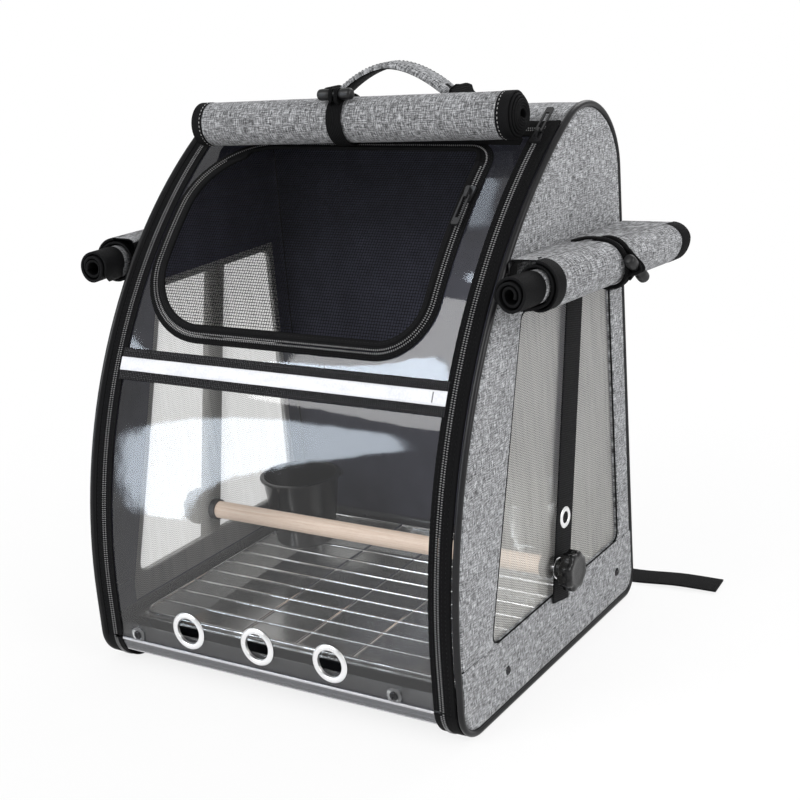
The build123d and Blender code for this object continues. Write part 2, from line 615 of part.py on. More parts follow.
def front_roll():
    left, right = roll_end(ROLL_LEFT), roll_end(ROLL_RIGHT)
    outer = round_bar(roll_end(ROLL_LEFT + ROLL_STEP), roll_end(ROLL_RIGHT - ROLL_STEP), ROLL_RADIUS)
    core = round_bar(left, right, CORE_RADIUS)
    seam_low, seam_high = ROLL_PLACE - ROLL_SEAM / 2, ROLL_PLACE + ROLL_SEAM / 2
    seam_x = (ROLL_LEFT + 2 * ROLL_STEP, ROLL_RIGHT - 2 * ROLL_STEP)
    seam = strip(*seam_x, seam_low, seam_high, -ROLL_GAP - 4, FACE)
    nodes["front_cover_roll"] = outer + core + seam
    tie_x = (ROLL_TIE_X - ROLL_TIE_WIDTH / 2, ROLL_TIE_X + ROLL_TIE_WIDTH / 2)
    ring = round_bar(roll_end(tie_x[0]), roll_end(tie_x[1]), ROLL_RADIUS + TIE)
    way_in = strip(*tie_x, seam_low - SEAM_GAP, seam_high + SEAM_GAP, -2 * ROLL_RADIUS, FACE)
    ring -= way_in & round_bar(roll_end(ROLL_LEFT), roll_end(ROLL_RIGHT), ROLL_RADIUS + 2 * TIE)
    nodes["front_cover_tie"] = ring - round_bar(roll_end(ROLL_LEFT), roll_end(ROLL_RIGHT), ROLL_RADIUS)
    lift = ROLL_RADIUS + TIE + TOGGLE_RADIUS + SEAM_GAP
    up = Vector(0, -sin(LEAN / 2), cos(LEAN / 2)) * lift
    ends = [Vector(*roll_end(ROLL_TIE_X + side * TOGGLE_LENGTH / 2)) + up for side in (-1, 1)]
    nodes["front_toggle"] = round_bar(tuple(ends[0]), tuple(ends[1]), TOGGLE_RADIUS)


def side_roll_axis(y):
    """Point on the right side roll's axis at a distance y from the front plane."""
    share = (y - SIDE_ROLL_FRONT) / (SIDE_ROLL_BACK - SIDE_ROLL_FRONT)
    return (HALF + SIDE_ROLL_RADIUS + SIDE_ROLL_GAP + SIDE_ROLL_SPLAY * share, FRONT + y, SIDE_ROLL_HEIGHT)


def side_rolls():
    outer = round_bar(side_roll_axis(SIDE_ROLL_FRONT + SIDE_ROLL_STEP), side_roll_axis(SIDE_ROLL_BACK),
                      SIDE_ROLL_RADIUS)
    core = round_bar(side_roll_axis(SIDE_ROLL_FRONT), side_roll_axis(SIDE_ROLL_FRONT + SIDE_ROLL_STEP + 1),
                     CORE_RADIUS)
    top = SIDE_ROLL_HEIGHT + SIDE_ROLL_RADIUS
    near, far = side_roll_axis(COVER_FRONT + 6), side_roll_axis(SIDE_ROLL_BACK - 6)
    wall = HALF + SEAM_GAP
    shelf = [(wall, near[1]), (near[0], near[1]), (far[0], far[1]), (wall, far[1])]
    shelf_face = Face(Wire.make_polygon([Vector(x, y, top - COVER) for x, y in shelf], close=True))
    flap = extrude(shelf_face, amount=COVER, dir=(0, 0, 1))
    hem = box((wall, wall + COVER), (near[1], far[1]), (top - COVER_HEM, top))
    both_sides("side_cover_roll", outer + core + flap + hem)
    tie = [side_roll_axis(TIE_PLACE - TIE_WIDTH / 2), side_roll_axis(TIE_PLACE + TIE_WIDTH / 2)]
    whole = round_bar(side_roll_axis(SIDE_ROLL_FRONT), side_roll_axis(SIDE_ROLL_BACK), SIDE_ROLL_RADIUS)
    ring = round_bar(*tie, SIDE_ROLL_RADIUS + TIE) - whole
    slot = box((wall - 1, tie[1][0]), (near[1], far[1]), (top - COVER - MOVE_GAP, top + MOVE_GAP))
    both_sides("side_cover_tie", ring - slot)
    out = Vector(SIDE_ROLL_RADIUS + TIE + TOGGLE_RADIUS + MOVE_GAP, 0, 0)
    along = (Vector(*side_roll_axis(SIDE_ROLL_BACK)) - Vector(*side_roll_axis(SIDE_ROLL_FRONT))).normalized()
    tilt = TOGGLE_TILT * pi / 180
    middle = Vector(*side_roll_axis(TIE_PLACE)) + out
    reach = (along * cos(tilt) - Vector(0, 0, sin(tilt))) * (TOGGLE_LENGTH / 2)
    both_sides("side_toggle", round_bar(tuple(middle - reach), tuple(middle + reach), TOGGLE_RADIUS))


# ---- Carrying handle ----
def handle():
    y = FRONT + HANDLE_PLACE
    pivot = HEIGHT + HANDLE_PIVOT
    half = HANDLE_SPAN / 2
    rise = HANDLE_RISE - HANDLE_PIVOT
    radius = (half ** 2 + rise ** 2) / (2 * rise)
    width = HANDLE_WIDTH / 2
    centre = pivot + rise - radius
    inner_r = radius - HANDLE_THICKNESS
    inner_half = (inner_r ** 2 - (pivot - centre) ** 2) ** 0.5
    front = Plane(origin=(0, y + width, 0), x_dir=(1, 0, 0), z_dir=(0, -1, 0))
    arc_out = Edge.make_three_point_arc((-half, pivot, 0), (0, pivot + rise, 0), (half, pivot, 0))
    inner_ends = [(side * inner_half, pivot, 0) for side in (-1, 1)]
    arc_in = Edge.make_three_point_arc(inner_ends[0], (0, centre + inner_r, 0), inner_ends[1])
    feet = [Edge.make_line((side * half, pivot, 0), (side * inner_half, pivot, 0)) for side in (-1, 1)]
    grip = plate(front, Face(Wire([arc_out, arc_in] + feet)), 0, HANDLE_WIDTH)
    for side in (-1, 1):
        grip += round_bar((side * (half - HANDLE_END), y, pivot), (side * half, y, pivot), HANDLE_EYE)
    nodes["handle_grip"] = grip
    inner_face = half + MOVE_GAP
    tab = round_bar((inner_face, y, pivot), (inner_face + HANDLE_END, y, pivot), HANDLE_EYE)
    ground = path_point(S_CROWN + CROWN_RADIUS * (pi / 2 - LEAN), PIPE_PROUD)[1] - 1
    leg = box((inner_face, inner_face + HANDLE_END), (y - HANDLE_EYE, y + HANDLE_EYE), (ground, pivot))
    tab = tab + leg - strip(0, HALF, S_CROWN, S_BACK, PIPE_PROUD, BACK_PAD)
    nodes["handle_anchors"] = group(tab, flip(tab))


# ---- Perch ----
def knob_shape(start):
    y, z = FRONT + PERCH_PLACE, PERCH_HEIGHT
    end = start + KNOB_LENGTH
    crown = round_bar((end - KNOB_LENGTH * 0.7, y, z), (end, y, z), KNOB_RADIUS)
    knob = crown + round_bar((start, y, z), (end, y, z), KNOB_HUB)
    for step in range(KNOB_LOBES):
        turn = 2 * pi * step / KNOB_LOBES
        ly, lz = y + KNOB_RADIUS * cos(turn), z + KNOB_RADIUS * sin(turn)
        knob -= round_bar((start, ly, lz), (end + 1, ly, lz), KNOB_LOBE_RADIUS)
    return knob - round_bar((start - 1, y, z), (end - KNOB_WALL, y, z), BOLT_RADIUS + RUNNING_FIT)


def perch():
    y, z = FRONT + PERCH_PLACE, PERCH_HEIGHT
    mesh_in = MESH_X - MESH
    dowel_end = mesh_in - PERCH_END_GAP
    knob_start = STRAP_OUT + STRAP + 1 + MOVE_GAP
    bolt_in = dowel_end - BOLT_IN_WOOD
    bolt = round_bar((bolt_in, y, z), (knob_start + KNOB_LENGTH - KNOB_WALL - 1, y, z), BOLT_RADIUS)
    dowel = round_bar((-dowel_end, y, z), (dowel_end, y, z), PERCH_RADIUS)
    pilot = round_bar((bolt_in, y, z), (dowel_end + 1, y, z), BOLT_RADIUS)
    washer = round_bar((dowel_end + SEAM_GAP, y, z), (mesh_in - SEAM_GAP, y, z), WASHER_RADIUS)
    washer -= round_bar((dowel_end - 1, y, z), (mesh_in + 1, y, z), BOLT_RADIUS)
    nodes["perch_dowel"] = dowel - pilot - flip(pilot)
    nodes["perch_bolts"] = group(bolt, flip(bolt))
    nodes["perch_washers"] = group(washer, flip(washer))
    both_sides("perch_knob", knob_shape(knob_start))


# ---- Base rim, tray, grid and cups ----
def rim_low():
    return board_front()[1] + BOARD + MOVE_GAP


def rim_bounds():
    """Outer faces of the rim: half width, front and back."""
    corner_r = FRONT_CORNER - FACE - SHEET - RIM_CLEARANCE
    front = FRONT + FRONT_CORNER - (corner_r ** 2 - (FRONT_CORNER - rim_low()) ** 2) ** 0.5
    return INNER - RIM_CLEARANCE, front, BACK - BACK_PAD - RIM_CLEARANCE


def base_rim():
    x, front, back = rim_bounds()
    wall = box((-x, x), (front, back), (rim_low(), RIM_TOP))
    hollow = box((-x + RIM, x - RIM), (front + RIM, back - RIM), (rim_low() - 1, RIM_TOP + 1))
    return wall - hollow


def screws():
    """Screw list: head centre on the outside face, and the direction that the screw points."""
    found = [((x, FRONT + FACE, z), (0, 1, 0)) for x, z in front_screw_points()]
    for y in SIDE_SCREWS:
        found += [((side * HALF, FRONT + y, SCREW_HEIGHT), (-side, 0, 0)) for side in (-1, 1)]
    found += [((side * BACK_SCREWS, BACK - PIPE_PROUD, SCREW_HEIGHT), (0, -1, 0)) for side in (-1, 1)]
    return found


def screw(seat, way):
    seat, way = Vector(*seat), Vector(*way)
    head = round_bar(tuple(seat - way * SCREW_HEAD_HEIGHT), tuple(seat), SCREW_HEAD)
    rim_edge = head.edges().filter_by(GeomType.CIRCLE)
    outer = max(rim_edge, key=lambda e: (e.center() - seat).dot(way * -1))
    head = fillet(outer, SCREW_HEAD_HEIGHT * 0.6)
    return head + round_bar(tuple(seat), tuple(seat + way * SCREW_LENGTH), SCREW_RADIUS)


def screw_holes():
    holes = []
    for seat, way in screws():
        seat, way = Vector(*seat), Vector(*way)
        holes.append(round_bar(tuple(seat - way), tuple(seat + way * (SCREW_LENGTH + 1)), SCREW_RADIUS))
    return holes


def tray_bounds():
    rim_x, _, rim_back = rim_bounds()
    return rim_x - RIM - TRAY_CLEARANCE, FRONT + TRAY_FRONT, rim_back - RIM - TRAY_CLEARANCE


def frustum(shrink, low, high, floor_shrink):
    """Block between two rectangles drawn in from the tray's outer edge, smaller at the bottom."""
    outer_x, front, back = tray_bounds()
    faces = []
    for z, draw in ((low, floor_shrink), (high, shrink)):
        x, y0, y1 = outer_x - draw, front + draw, back - draw
        corners = [(-x, y0), (x, y0), (x, y1), (-x, y1)]
        faces.append(Pos(0, 0, z) * rounded_face(corners, [TRAY_CORNER] * 4))
    return loft(faces)


def tray():
    floor = BOARD + MOVE_GAP
    mouth = TRAY_LIP
    body = frustum(mouth, floor, TRAY_TOP, mouth + TRAY_DRAFT)
    hollow = frustum(mouth + TRAY_WALL, floor + TRAY_WALL, TRAY_TOP + 0.01, mouth + TRAY_DRAFT + TRAY_WALL)
    lip = frustum(0, TRAY_TOP - TRAY_WALL, TRAY_TOP, 0)
    lip -= frustum(mouth + TRAY_WALL, TRAY_TOP - TRAY_WALL - 1, TRAY_TOP + 1, mouth + TRAY_WALL)
    return body - hollow + lip


def wire_grid():
    outer_x, front, back = tray_bounds()
    x = outer_x - GRID_MARGIN
    y0, y1 = front + GRID_MARGIN, back - GRID_MARGIN
    z = TRAY_TOP + MOVE_GAP + FRAME_WIRE_RADIUS
    corners = [(-x, y0), (x, y0), (x, y1), (-x, y1)]
    r = FRAME_WIRE_RADIUS
    frame = Pos(0, 0, z) * rounded_face(corners, [GRID_CORNER] * 4).outer_wire()
    start = frame.edges()[0]
    section = Plane(origin=start @ 0, z_dir=start % 0).location * Face(Wire.make_circle(r))
    grid = sweep(section, path=frame)
    for side in (-1, 0, 1):
        grid += round_bar((side * GRID_BEARERS, y0, z), (side * GRID_BEARERS, y1, z), r)
    count = int((y1 - y0) // GRID_PITCH)
    pitch = (y1 - y0) / count
    for step in range(1, count):
        y = y0 + step * pitch
        grid += round_bar((-x, y, z + r * 0.6), (x, y, z + r * 0.6), WIRE_RADIUS)
    return grid


def cup_shape(place):
    x, y = place
    low = TRAY_TOP + MOVE_GAP + FRAME_WIRE_RADIUS * 1.6 + WIRE_RADIUS + MOVE_GAP
    profile = [(0, 0), (CUP_FOOT, 0), (CUP_RADIUS, CUP_HEIGHT), (CUP_RADIUS + CUP_LIP, CUP_HEIGHT),
               (CUP_RADIUS + CUP_LIP, CUP_HEIGHT + CUP_WALL), (CUP_RADIUS - CUP_WALL, CUP_HEIGHT + CUP_WALL),
               (CUP_FOOT - CUP_WALL, CUP_WALL), (0, CUP_WALL)]
    face = Face(Wire.make_polygon([Vector(r, 0, z) for r, z in profile], close=True))
    return Pos(x, FRONT + y, low) * revolve(face, axis=Axis.Z)


def base_fittings():
    holes = screw_holes()
    nodes["base_rim"] = base_rim() - holes
    nodes["back_panel"] -= holes
    nodes["rim_screws"] = group(*[screw(*place) for place in screws()])
    nodes["steel_tray"] = tray()
    nodes["wire_grid"] = wire_grid()
    for side, place in CUPS.items():
        nodes["feeder_cup_" + side] = cup_shape(place)


# ---- Shoulder straps ----
def shoulder_straps():
    wall = BACK - PIPE_PROUD
    middle = (SHOULDER_TOP + SHOULDER_BOTTOM) / 2
    low, high, bow = (wall, SHOULDER_BOTTOM), (wall, SHOULDER_TOP), (wall + SHOULDER_BOW, middle)
    inner = Edge.make_three_point_arc((0, *low), (0, *bow), (0, *high))
    outer = Edge.make_three_point_arc(*[(0, y + SHOULDER_PAD, z) for y, z in (low, bow, high)])
    ends = [Edge.make_line(inner @ k, outer @ k) for k in (0, 1)]
    pad = extrude(Face(Wire([inner, outer] + ends)), amount=SHOULDER_WIDTH, dir=(1, 0, 0))
    pad = Pos(SHOULDER_X - SHOULDER_WIDTH / 2, 0, 0) * pad
    loop_r = LOCK_PIN + MOVE_GAP + WEB
    pin_y, pin_z = wall + WEB + MOVE_GAP + loop_r, SHOULDER_BOTTOM - loop_r + WEB / 2
    half = WEB_WIDTH / 2
    across = [(SHOULDER_X + side * half, pin_y, pin_z) for side in (-1, 1)]
    loop = round_bar(*across, loop_r)
    pad = pad + loop - round_bar(*across, LOCK_PIN + MOVE_GAP)
    both_sides("shoulder_pad", pad)
    both_sides("ladder_lock", ladder_lock(pin_y, pin_z))
    both_sides("lower_webbing", webbing_run(wall, pin_z - LOCK_HEIGHT * 0.6))
    nodes["webbing_tails"] = webbing_tails(pin_y + LOCK / 2 + SEAM_GAP, pin_z - LOCK_HEIGHT * 0.5)


def ladder_lock(y, z):
    """Strap buckle: a pin in the pad's loop, two rails and two bars."""
    inner = WEB_WIDTH / 2 + 2 * MOVE_GAP
    outer = inner + LOCK_RAIL
    pin = round_bar((SHOULDER_X - outer, y, z), (SHOULDER_X + outer, y, z), LOCK_PIN)
    depth = (y - LOCK / 2, y + LOCK / 2)
    height = (z - LOCK_HEIGHT, z + LOCK_PIN)
    sides = ((-outer, -inner), (inner, outer))
    rails = [box((SHOULDER_X + a, SHOULDER_X + b), depth, height) for a, b in sides]
    bars = [box((SHOULDER_X - outer, SHOULDER_X + outer), depth, (z - low, z - low + LOCK_BAR))
            for low in (LOCK_HEIGHT * 0.62, LOCK_HEIGHT)]
    return pin + rails[0] + rails[1] + bars[0] + bars[1]


def webbing_run(wall, top):
    """Webbing from behind the strap's buckle down to the bottom corner of the back panel."""
    half = WEB_WIDTH / 2
    points = [(ANCHOR_X - half, ANCHOR_HEIGHT), (ANCHOR_X + half, ANCHOR_HEIGHT),
              (SHOULDER_X + half, top), (SHOULDER_X - half, top)]
    face = Face(Wire.make_polygon([Vector(x, wall, z) for x, z in points], close=True))
    return extrude(face, amount=WEB, dir=(0, 1, 0))


def webbing_tails(near, top):
    """Loose ends of the webbing, hanging from the buckles. The right one lies on the ground."""
    left, right = SHOULDER_X - WEB_WIDTH / 2, SHOULDER_X + WEB_WIDTH / 2
    points = [(left, near), (TAIL_END_X, near + TAIL_TURN),
              (TAIL_END_X - TAIL_SLANT, near + TAIL_TURN + WEB_WIDTH), (left, near + WEB_WIDTH)]
    face = Face(Wire.make_polygon([Vector(x, y, 0) for x, y in points], close=True))
    laid = extrude(face, amount=WEB, dir=(0, 0, 1))
    short = box((left, right), (near, near + WEB), (TAIL_SHORT, top))
    return group(laid + box((left, right), (near, near + WEB), (0, top)), flip(short))


shell()
body_zip()
door_zip()
clear_front()
front_roll()
side_rolls()
handle()
perch()
base_fittings()
shoulder_straps()

os.makedirs("parts", exist_ok=True)
for name, shape in nodes.items():
    export_step(shape, f"parts/{name}.step")
print(len(nodes), "nodes, front radius", round(FRONT_RADIUS, 1), "lean", round(LEAN * 180 / pi, 2))
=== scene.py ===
from math import asin, atan2, cos, hypot, pi, sin

import bpy
import numpy as np
from mathutils import Matrix, Vector

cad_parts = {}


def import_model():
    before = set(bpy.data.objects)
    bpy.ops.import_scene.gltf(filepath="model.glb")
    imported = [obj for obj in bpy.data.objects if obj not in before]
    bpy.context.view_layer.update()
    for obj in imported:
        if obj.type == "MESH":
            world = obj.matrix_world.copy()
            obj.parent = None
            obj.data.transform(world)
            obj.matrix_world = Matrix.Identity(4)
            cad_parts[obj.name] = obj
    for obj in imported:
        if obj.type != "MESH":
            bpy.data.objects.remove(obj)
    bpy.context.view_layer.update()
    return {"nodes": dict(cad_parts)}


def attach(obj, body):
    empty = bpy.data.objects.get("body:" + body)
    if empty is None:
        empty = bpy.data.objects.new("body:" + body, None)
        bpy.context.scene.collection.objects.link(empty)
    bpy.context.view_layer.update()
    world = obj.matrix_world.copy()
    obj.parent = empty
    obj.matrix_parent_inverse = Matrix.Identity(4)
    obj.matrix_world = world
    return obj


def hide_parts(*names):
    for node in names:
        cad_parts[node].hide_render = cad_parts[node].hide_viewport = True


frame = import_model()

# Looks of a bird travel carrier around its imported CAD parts. Shapes are worked out in millimetres in the
# row frame (front -Y, up +Z) and scaled to metres when a piece is built.
MM = 0.001

# ---- Driving sizes, the same as in the part's source ----
HALF, FRONT, BACK, HEIGHT = 170.0, -146.0, 146.0, 420.0
CROWN_RADIUS, FRONT_STRAIGHT, FRONT_CORNER, BACK_CORNER = 58.0, 60.0, 26.0, 18.0
INNER, DOOR_HALF, CLEAR_HALF = 165.0, 153.4, 146.4
PIPE, FACE = 2.5, 1.0
SKIRT = 57.5
DOOR_LOW, DOOR_TOP, TOP_TAPE = 26.4, 472.0, 10.0
STRIPE = (237.0, 262.0)
MESH_LEFT, MESH_RIGHT, MESH_LOW, MESH_HIGH, MESH_FOLD = -145.0, 127.0, 272.0, 458.0, 438.0
MESH_CORNERS = (65.0, 46.0, 24.0, 70.0)
FRAME_TAPE, FLAP_TAPE, SPLIT = 6.0, 8.0, 0.4
GROMMETS = (-75.0, -8.0, 59.0)
GROMMET_Z = 44.0
FRONT_SCREWS = (-129.5, 113.5)
SCREW_Z = 30.0
PERCH_Y, PERCH_Z = 4.0, 78.0
SIDES = (("right", 1.0), ("left", -1.0))
RUN, RISE = 234.0, 302.0
RADIUS = (RUN ** 2 + RISE ** 2 - CROWN_RADIUS ** 2) / (2 * (RUN - CROWN_RADIUS))
ARC_Y, ARC_Z = FRONT + RADIUS, FRONT_STRAIGHT
CROWN_Y, CROWN_Z = BACK - CROWN_RADIUS, HEIGHT - CROWN_RADIUS
LEAN = atan2(CROWN_Z - ARC_Z, ARC_Y - CROWN_Y)
S_CROWN = FRONT_STRAIGHT + RADIUS * LEAN
S_BACK = S_CROWN + CROWN_RADIUS * (pi - LEAN)
S_MESH = (MESH_LOW + MESH_HIGH) / 2
V_FOLD = (RADIUS - FACE) * sin((MESH_FOLD - S_MESH) / RADIUS)


def profile(s, inset=0.0):
    """(y, z) on the bag's side profile at s, measured up the front, over the crown and down the back."""
    s, inset = np.broadcast_arrays(np.asarray(s, float), np.asarray(inset, float))
    low = (FRONT_CORNER - s) / FRONT_CORNER
    lean = (s - FRONT_STRAIGHT) / RADIUS
    top = LEAN + (s - S_CROWN) / CROWN_RADIUS
    cases = [s < FRONT_CORNER, s <= FRONT_STRAIGHT, s <= S_CROWN, s <= S_BACK]
    rl, rf, rc = FRONT_CORNER - inset, RADIUS - inset, CROWN_RADIUS - inset
    y = np.select(cases, [FRONT + FRONT_CORNER - rl * np.cos(low), FRONT + inset,
                          ARC_Y - rf * np.cos(lean), CROWN_Y - rc * np.cos(top)], BACK - inset)
    z = np.select(cases, [FRONT_CORNER - rl * np.sin(low), s, ARC_Z + rf * np.sin(lean),
                          CROWN_Z + rc * np.sin(top)], CROWN_Z - (s - S_BACK))
    return y, z


def on_front(x, s, inset=0.0):
    """Points on the curved face at x and s, inset below the piping."""
    y, z = profile(s, inset)
    x, y, z = np.broadcast_arrays(np.asarray(x, float), y, z)
    return np.stack([x, y, z], -1)


def stations(low, high, step):
    return np.linspace(low, high, max(2, int(round((high - low) / step)) + 1))


def unit(v):
    v = np.asarray(v, float)
    return v / np.linalg.norm(v, axis=-1, keepdims=True)


def waves(a, b, seed, size=60.0):
    """Smooth waviness from -1 to 1 over a surface, the same at every run."""
    rng = np.random.default_rng(seed)
    total = 0.0
    for k in range(5):
        angle, phase = rng.uniform(0, pi), rng.uniform(0, 2 * pi)
        f = 2 * pi / (size * (1.0, 0.8, 1.4, 0.6, 1.9)[k])
        total = total + np.sin(f * (np.cos(angle) * a + np.sin(angle) * b) + phase)
    return total / 5


# ---- Mesh builder ----
class Piece:
    """Mesh collected in millimetres. Each point also keeps its place in the weave, in millimetres."""

    def __init__(self):
        self.points, self.weave, self.quads, self.quad_slots = [], [], [], []
        self.polys, self.poly_slots, self.count = [], [], 0

    def grid(self, points, weave, slots=0, loop=False, ring=False, caps=None):
        """Grid of quads. loop closes the second direction and ring the first; slots may be one for each
        quad along the second direction. caps is the slot of the two ends of a looped grid."""
        points = np.asarray(points, float)
        n, m = points.shape[:2]
        weave = np.broadcast_to(np.asarray(weave, float), (n, m, 2))
        index = self.count + np.arange(n * m).reshape(n, m)
        a = index if ring else index[:-1]
        b = np.roll(index, -1, 0) if ring else index[1:]
        if loop:
            quads = np.stack([a, np.roll(a, -1, 1), np.roll(b, -1, 1), b], -1)
        else:
            quads = np.stack([a[:, :-1], a[:, 1:], b[:, 1:], b[:, :-1]], -1)
        self.quads.append(quads.reshape(-1, 4))
        self.quad_slots.append(np.broadcast_to(np.asarray(slots), quads.shape[:2]).reshape(-1))
        self.points.append(points.reshape(-1, 3))
        self.weave.append(weave.reshape(-1, 2))
        self.count += n * m
        if caps is not None:
            self.polys += [index[0][::-1].tolist(), index[-1].tolist()]
            self.poly_slots += [caps, caps]
        return self

    def beads(self, centres, along, up, size, slot=0):
        """Small rounded lozenges, for zip teeth and stitches. size is length, width and height."""
        centres, along, up = (np.atleast_2d(np.asarray(v, float)) for v in (centres, along, up))
        along, up = np.broadcast_to(unit(along), centres.shape), np.broadcast_to(unit(up), centres.shape)
        side = np.cross(up, along)
        a, b, c = along * size[0] / 2, side * size[1] / 2, up * size[2] / 2
        k = 0.55
        ring0 = [centres - a * k + b * k, centres - a * k + c * k, centres - a * k - b * k,
                 centres - a * k - c * k]
        ring1 = [centres + b, centres + c, centres - b, centres - c]
        ring2 = [centres + a * k + b * k, centres + a * k + c * k, centres + a * k - b * k,
                 centres + a * k - c * k]
        verts = np.stack([centres - a] + ring0 + ring1 + ring2 + [centres + a], 1)
        shape = [[1 + i, 1 + (i + 1) % 4, 5 + (i + 1) % 4, 5 + i] for i in range(4)]
        shape += [[5 + i, 5 + (i + 1) % 4, 9 + (i + 1) % 4, 9 + i] for i in range(4)]
        shape += [[0, 1 + (i + 1) % 4, 1 + i, 1 + i] for i in range(4)]
        shape += [[9 + i, 9 + (i + 1) % 4, 13, 13] for i in range(4)]
        base = self.count + 14 * np.arange(len(centres))[:, None, None]
        faces = (np.array(shape)[None] + base).reshape(-1, 4)
        for face in faces.tolist():
            clean = list(dict.fromkeys(face))
            self.polys.append(clean)
            self.poly_slots.append(slot)
        self.points.append(verts.reshape(-1, 3))
        self.weave.append(verts.reshape(-1, 3)[:, :2])
        self.count += 14 * len(centres)
        return self

    def build(self, name, body, materials, slot, replaces=(), sharp=40.0):
        mesh = bpy.data.meshes.new(name)
        faces = (np.concatenate(self.quads).tolist() if self.quads else []) + self.polys
        slots = (np.concatenate(self.quad_slots).tolist() if self.quads else []) + self.poly_slots
        points = np.concatenate(self.points)
        mesh.from_pydata((points * MM).tolist(), [], faces)
        for material in materials:
            mesh.materials.append(material)
        mesh.polygons.foreach_set("material_index", slots)
        weave = mesh.attributes.new("weave", "FLOAT_VECTOR", "POINT")
        flat = np.concatenate(self.weave)
        weave.data.foreach_set("vector", np.column_stack([flat,
                                                          np.zeros(len(flat))]).astype(np.float32).ravel())
        mesh.shade_smooth()
        if sharp:
            mesh.set_sharp_from_angle(angle=sharp * pi / 180)
        mesh.update()
        return place(bpy.data.objects.new(name, mesh), body, replaces)


def place(obj, body, replaces=()):
    bpy.context.scene.collection.objects.link(obj)
    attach(obj, body)
    if replaces:
        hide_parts(*replaces)
    return obj


def frames_along(points, up):
    """Unit tangents, side directions and normals along a line of points, kept near up."""
    tangent = unit(np.gradient(points, axis=0))
    up = np.broadcast_to(np.asarray(up, float), points.shape)
    side = unit(np.cross(tangent, up))
    return tangent, side, np.cross(side, tangent)


def lengths(points):
    return np.concatenate([[0.0], np.cumsum(np.linalg.norm(np.diff(points, axis=0), axis=1))])


def sweep(piece, points, up, section, slots=0, caps=0, shift=0.0):
    """Closed cross-section (side, up) swept along a line of points."""
    points = np.asarray(points, float)
    _, side, normal = frames_along(points, up)
    section = np.asarray(section, float)
    rows = points[:, None] + side[:, None] * section[None, :, :1] + normal[:, None] * section[None, :, 1:]
    run = lengths(points)
    weave = np.stack(np.broadcast_arrays(section[None, :, 0] + shift, run[:, None]), -1)
    return piece.grid(rows, weave, slots, loop=True, caps=caps)


def oval(width, height, count=10, power=1.0):
    """Rounded cross-section, squarer with a smaller power."""
    turns = np.arange(count) * 2 * pi / count
    c, s = np.cos(turns), np.sin(turns)
    shape = np.stack([np.sign(c) * np.abs(c) ** power * width / 2,
                      np.sign(s) * np.abs(s) ** power * height / 2], -1)
    return shape


def webbing_section(width, thickness):
    """Flat strap with rounded edges and flat faces."""
    w, t = width / 2, thickness / 2
    half = [(-w, 0), (-w + 0.5 * t, t * 0.8), (-w + 1.6 * t, t), (0, t), (w - 1.6 * t, t),
            (w - 0.5 * t, t * 0.8), (w, 0)]
    return half + [(x, -y) for x, y in half[-2:0:-1]]


def lathe(piece, origin, axis, outline, slot=0, count=40, closed=False):
    """Outline of (radius, height) pairs turned about an axis."""
    axis = unit(axis)
    first = unit(np.cross(axis, (0.31, 0.52, 0.79)))
    second = np.cross(axis, first)
    turns = np.arange(count) * 2 * pi / count
    ring = np.cos(turns)[:, None] * first + np.sin(turns)[:, None] * second
    outline = np.asarray(outline, float)
    rows = np.asarray(origin, float) + outline[:, None, :1] * ring[None] + outline[:, None, 1:] * axis
    weave = np.stack(np.broadcast_arrays(outline[:, :1] * 0 + turns[None] * max(outline[:, 0].max(), 1),
                                         outline[:, 1:]), -1)
    return piece.grid(rows, weave, slot, loop=True, ring=closed)


def rounded(outline, radius, count=4, closed=True):
    """Outline with each corner rounded off, for lathe outlines and sections."""
    pts = [np.array(p, float) for p in outline]
    out = []
    n = len(pts)
    for i, p in enumerate(pts):
        if not closed and i in (0, n - 1):
            out.append(p)
            continue
        a, b = pts[i - 1] - p, pts[(i + 1) % n] - p
        r = min(radius, np.linalg.norm(a) * 0.45, np.linalg.norm(b) * 0.45)
        a, b = p + unit(a) * r, p + unit(b) * r
        for k in np.linspace(0, 1, count):
            out.append((1 - k) ** 2 * a + 2 * k * (1 - k) * p + k ** 2 * b)
    return np.array(out)


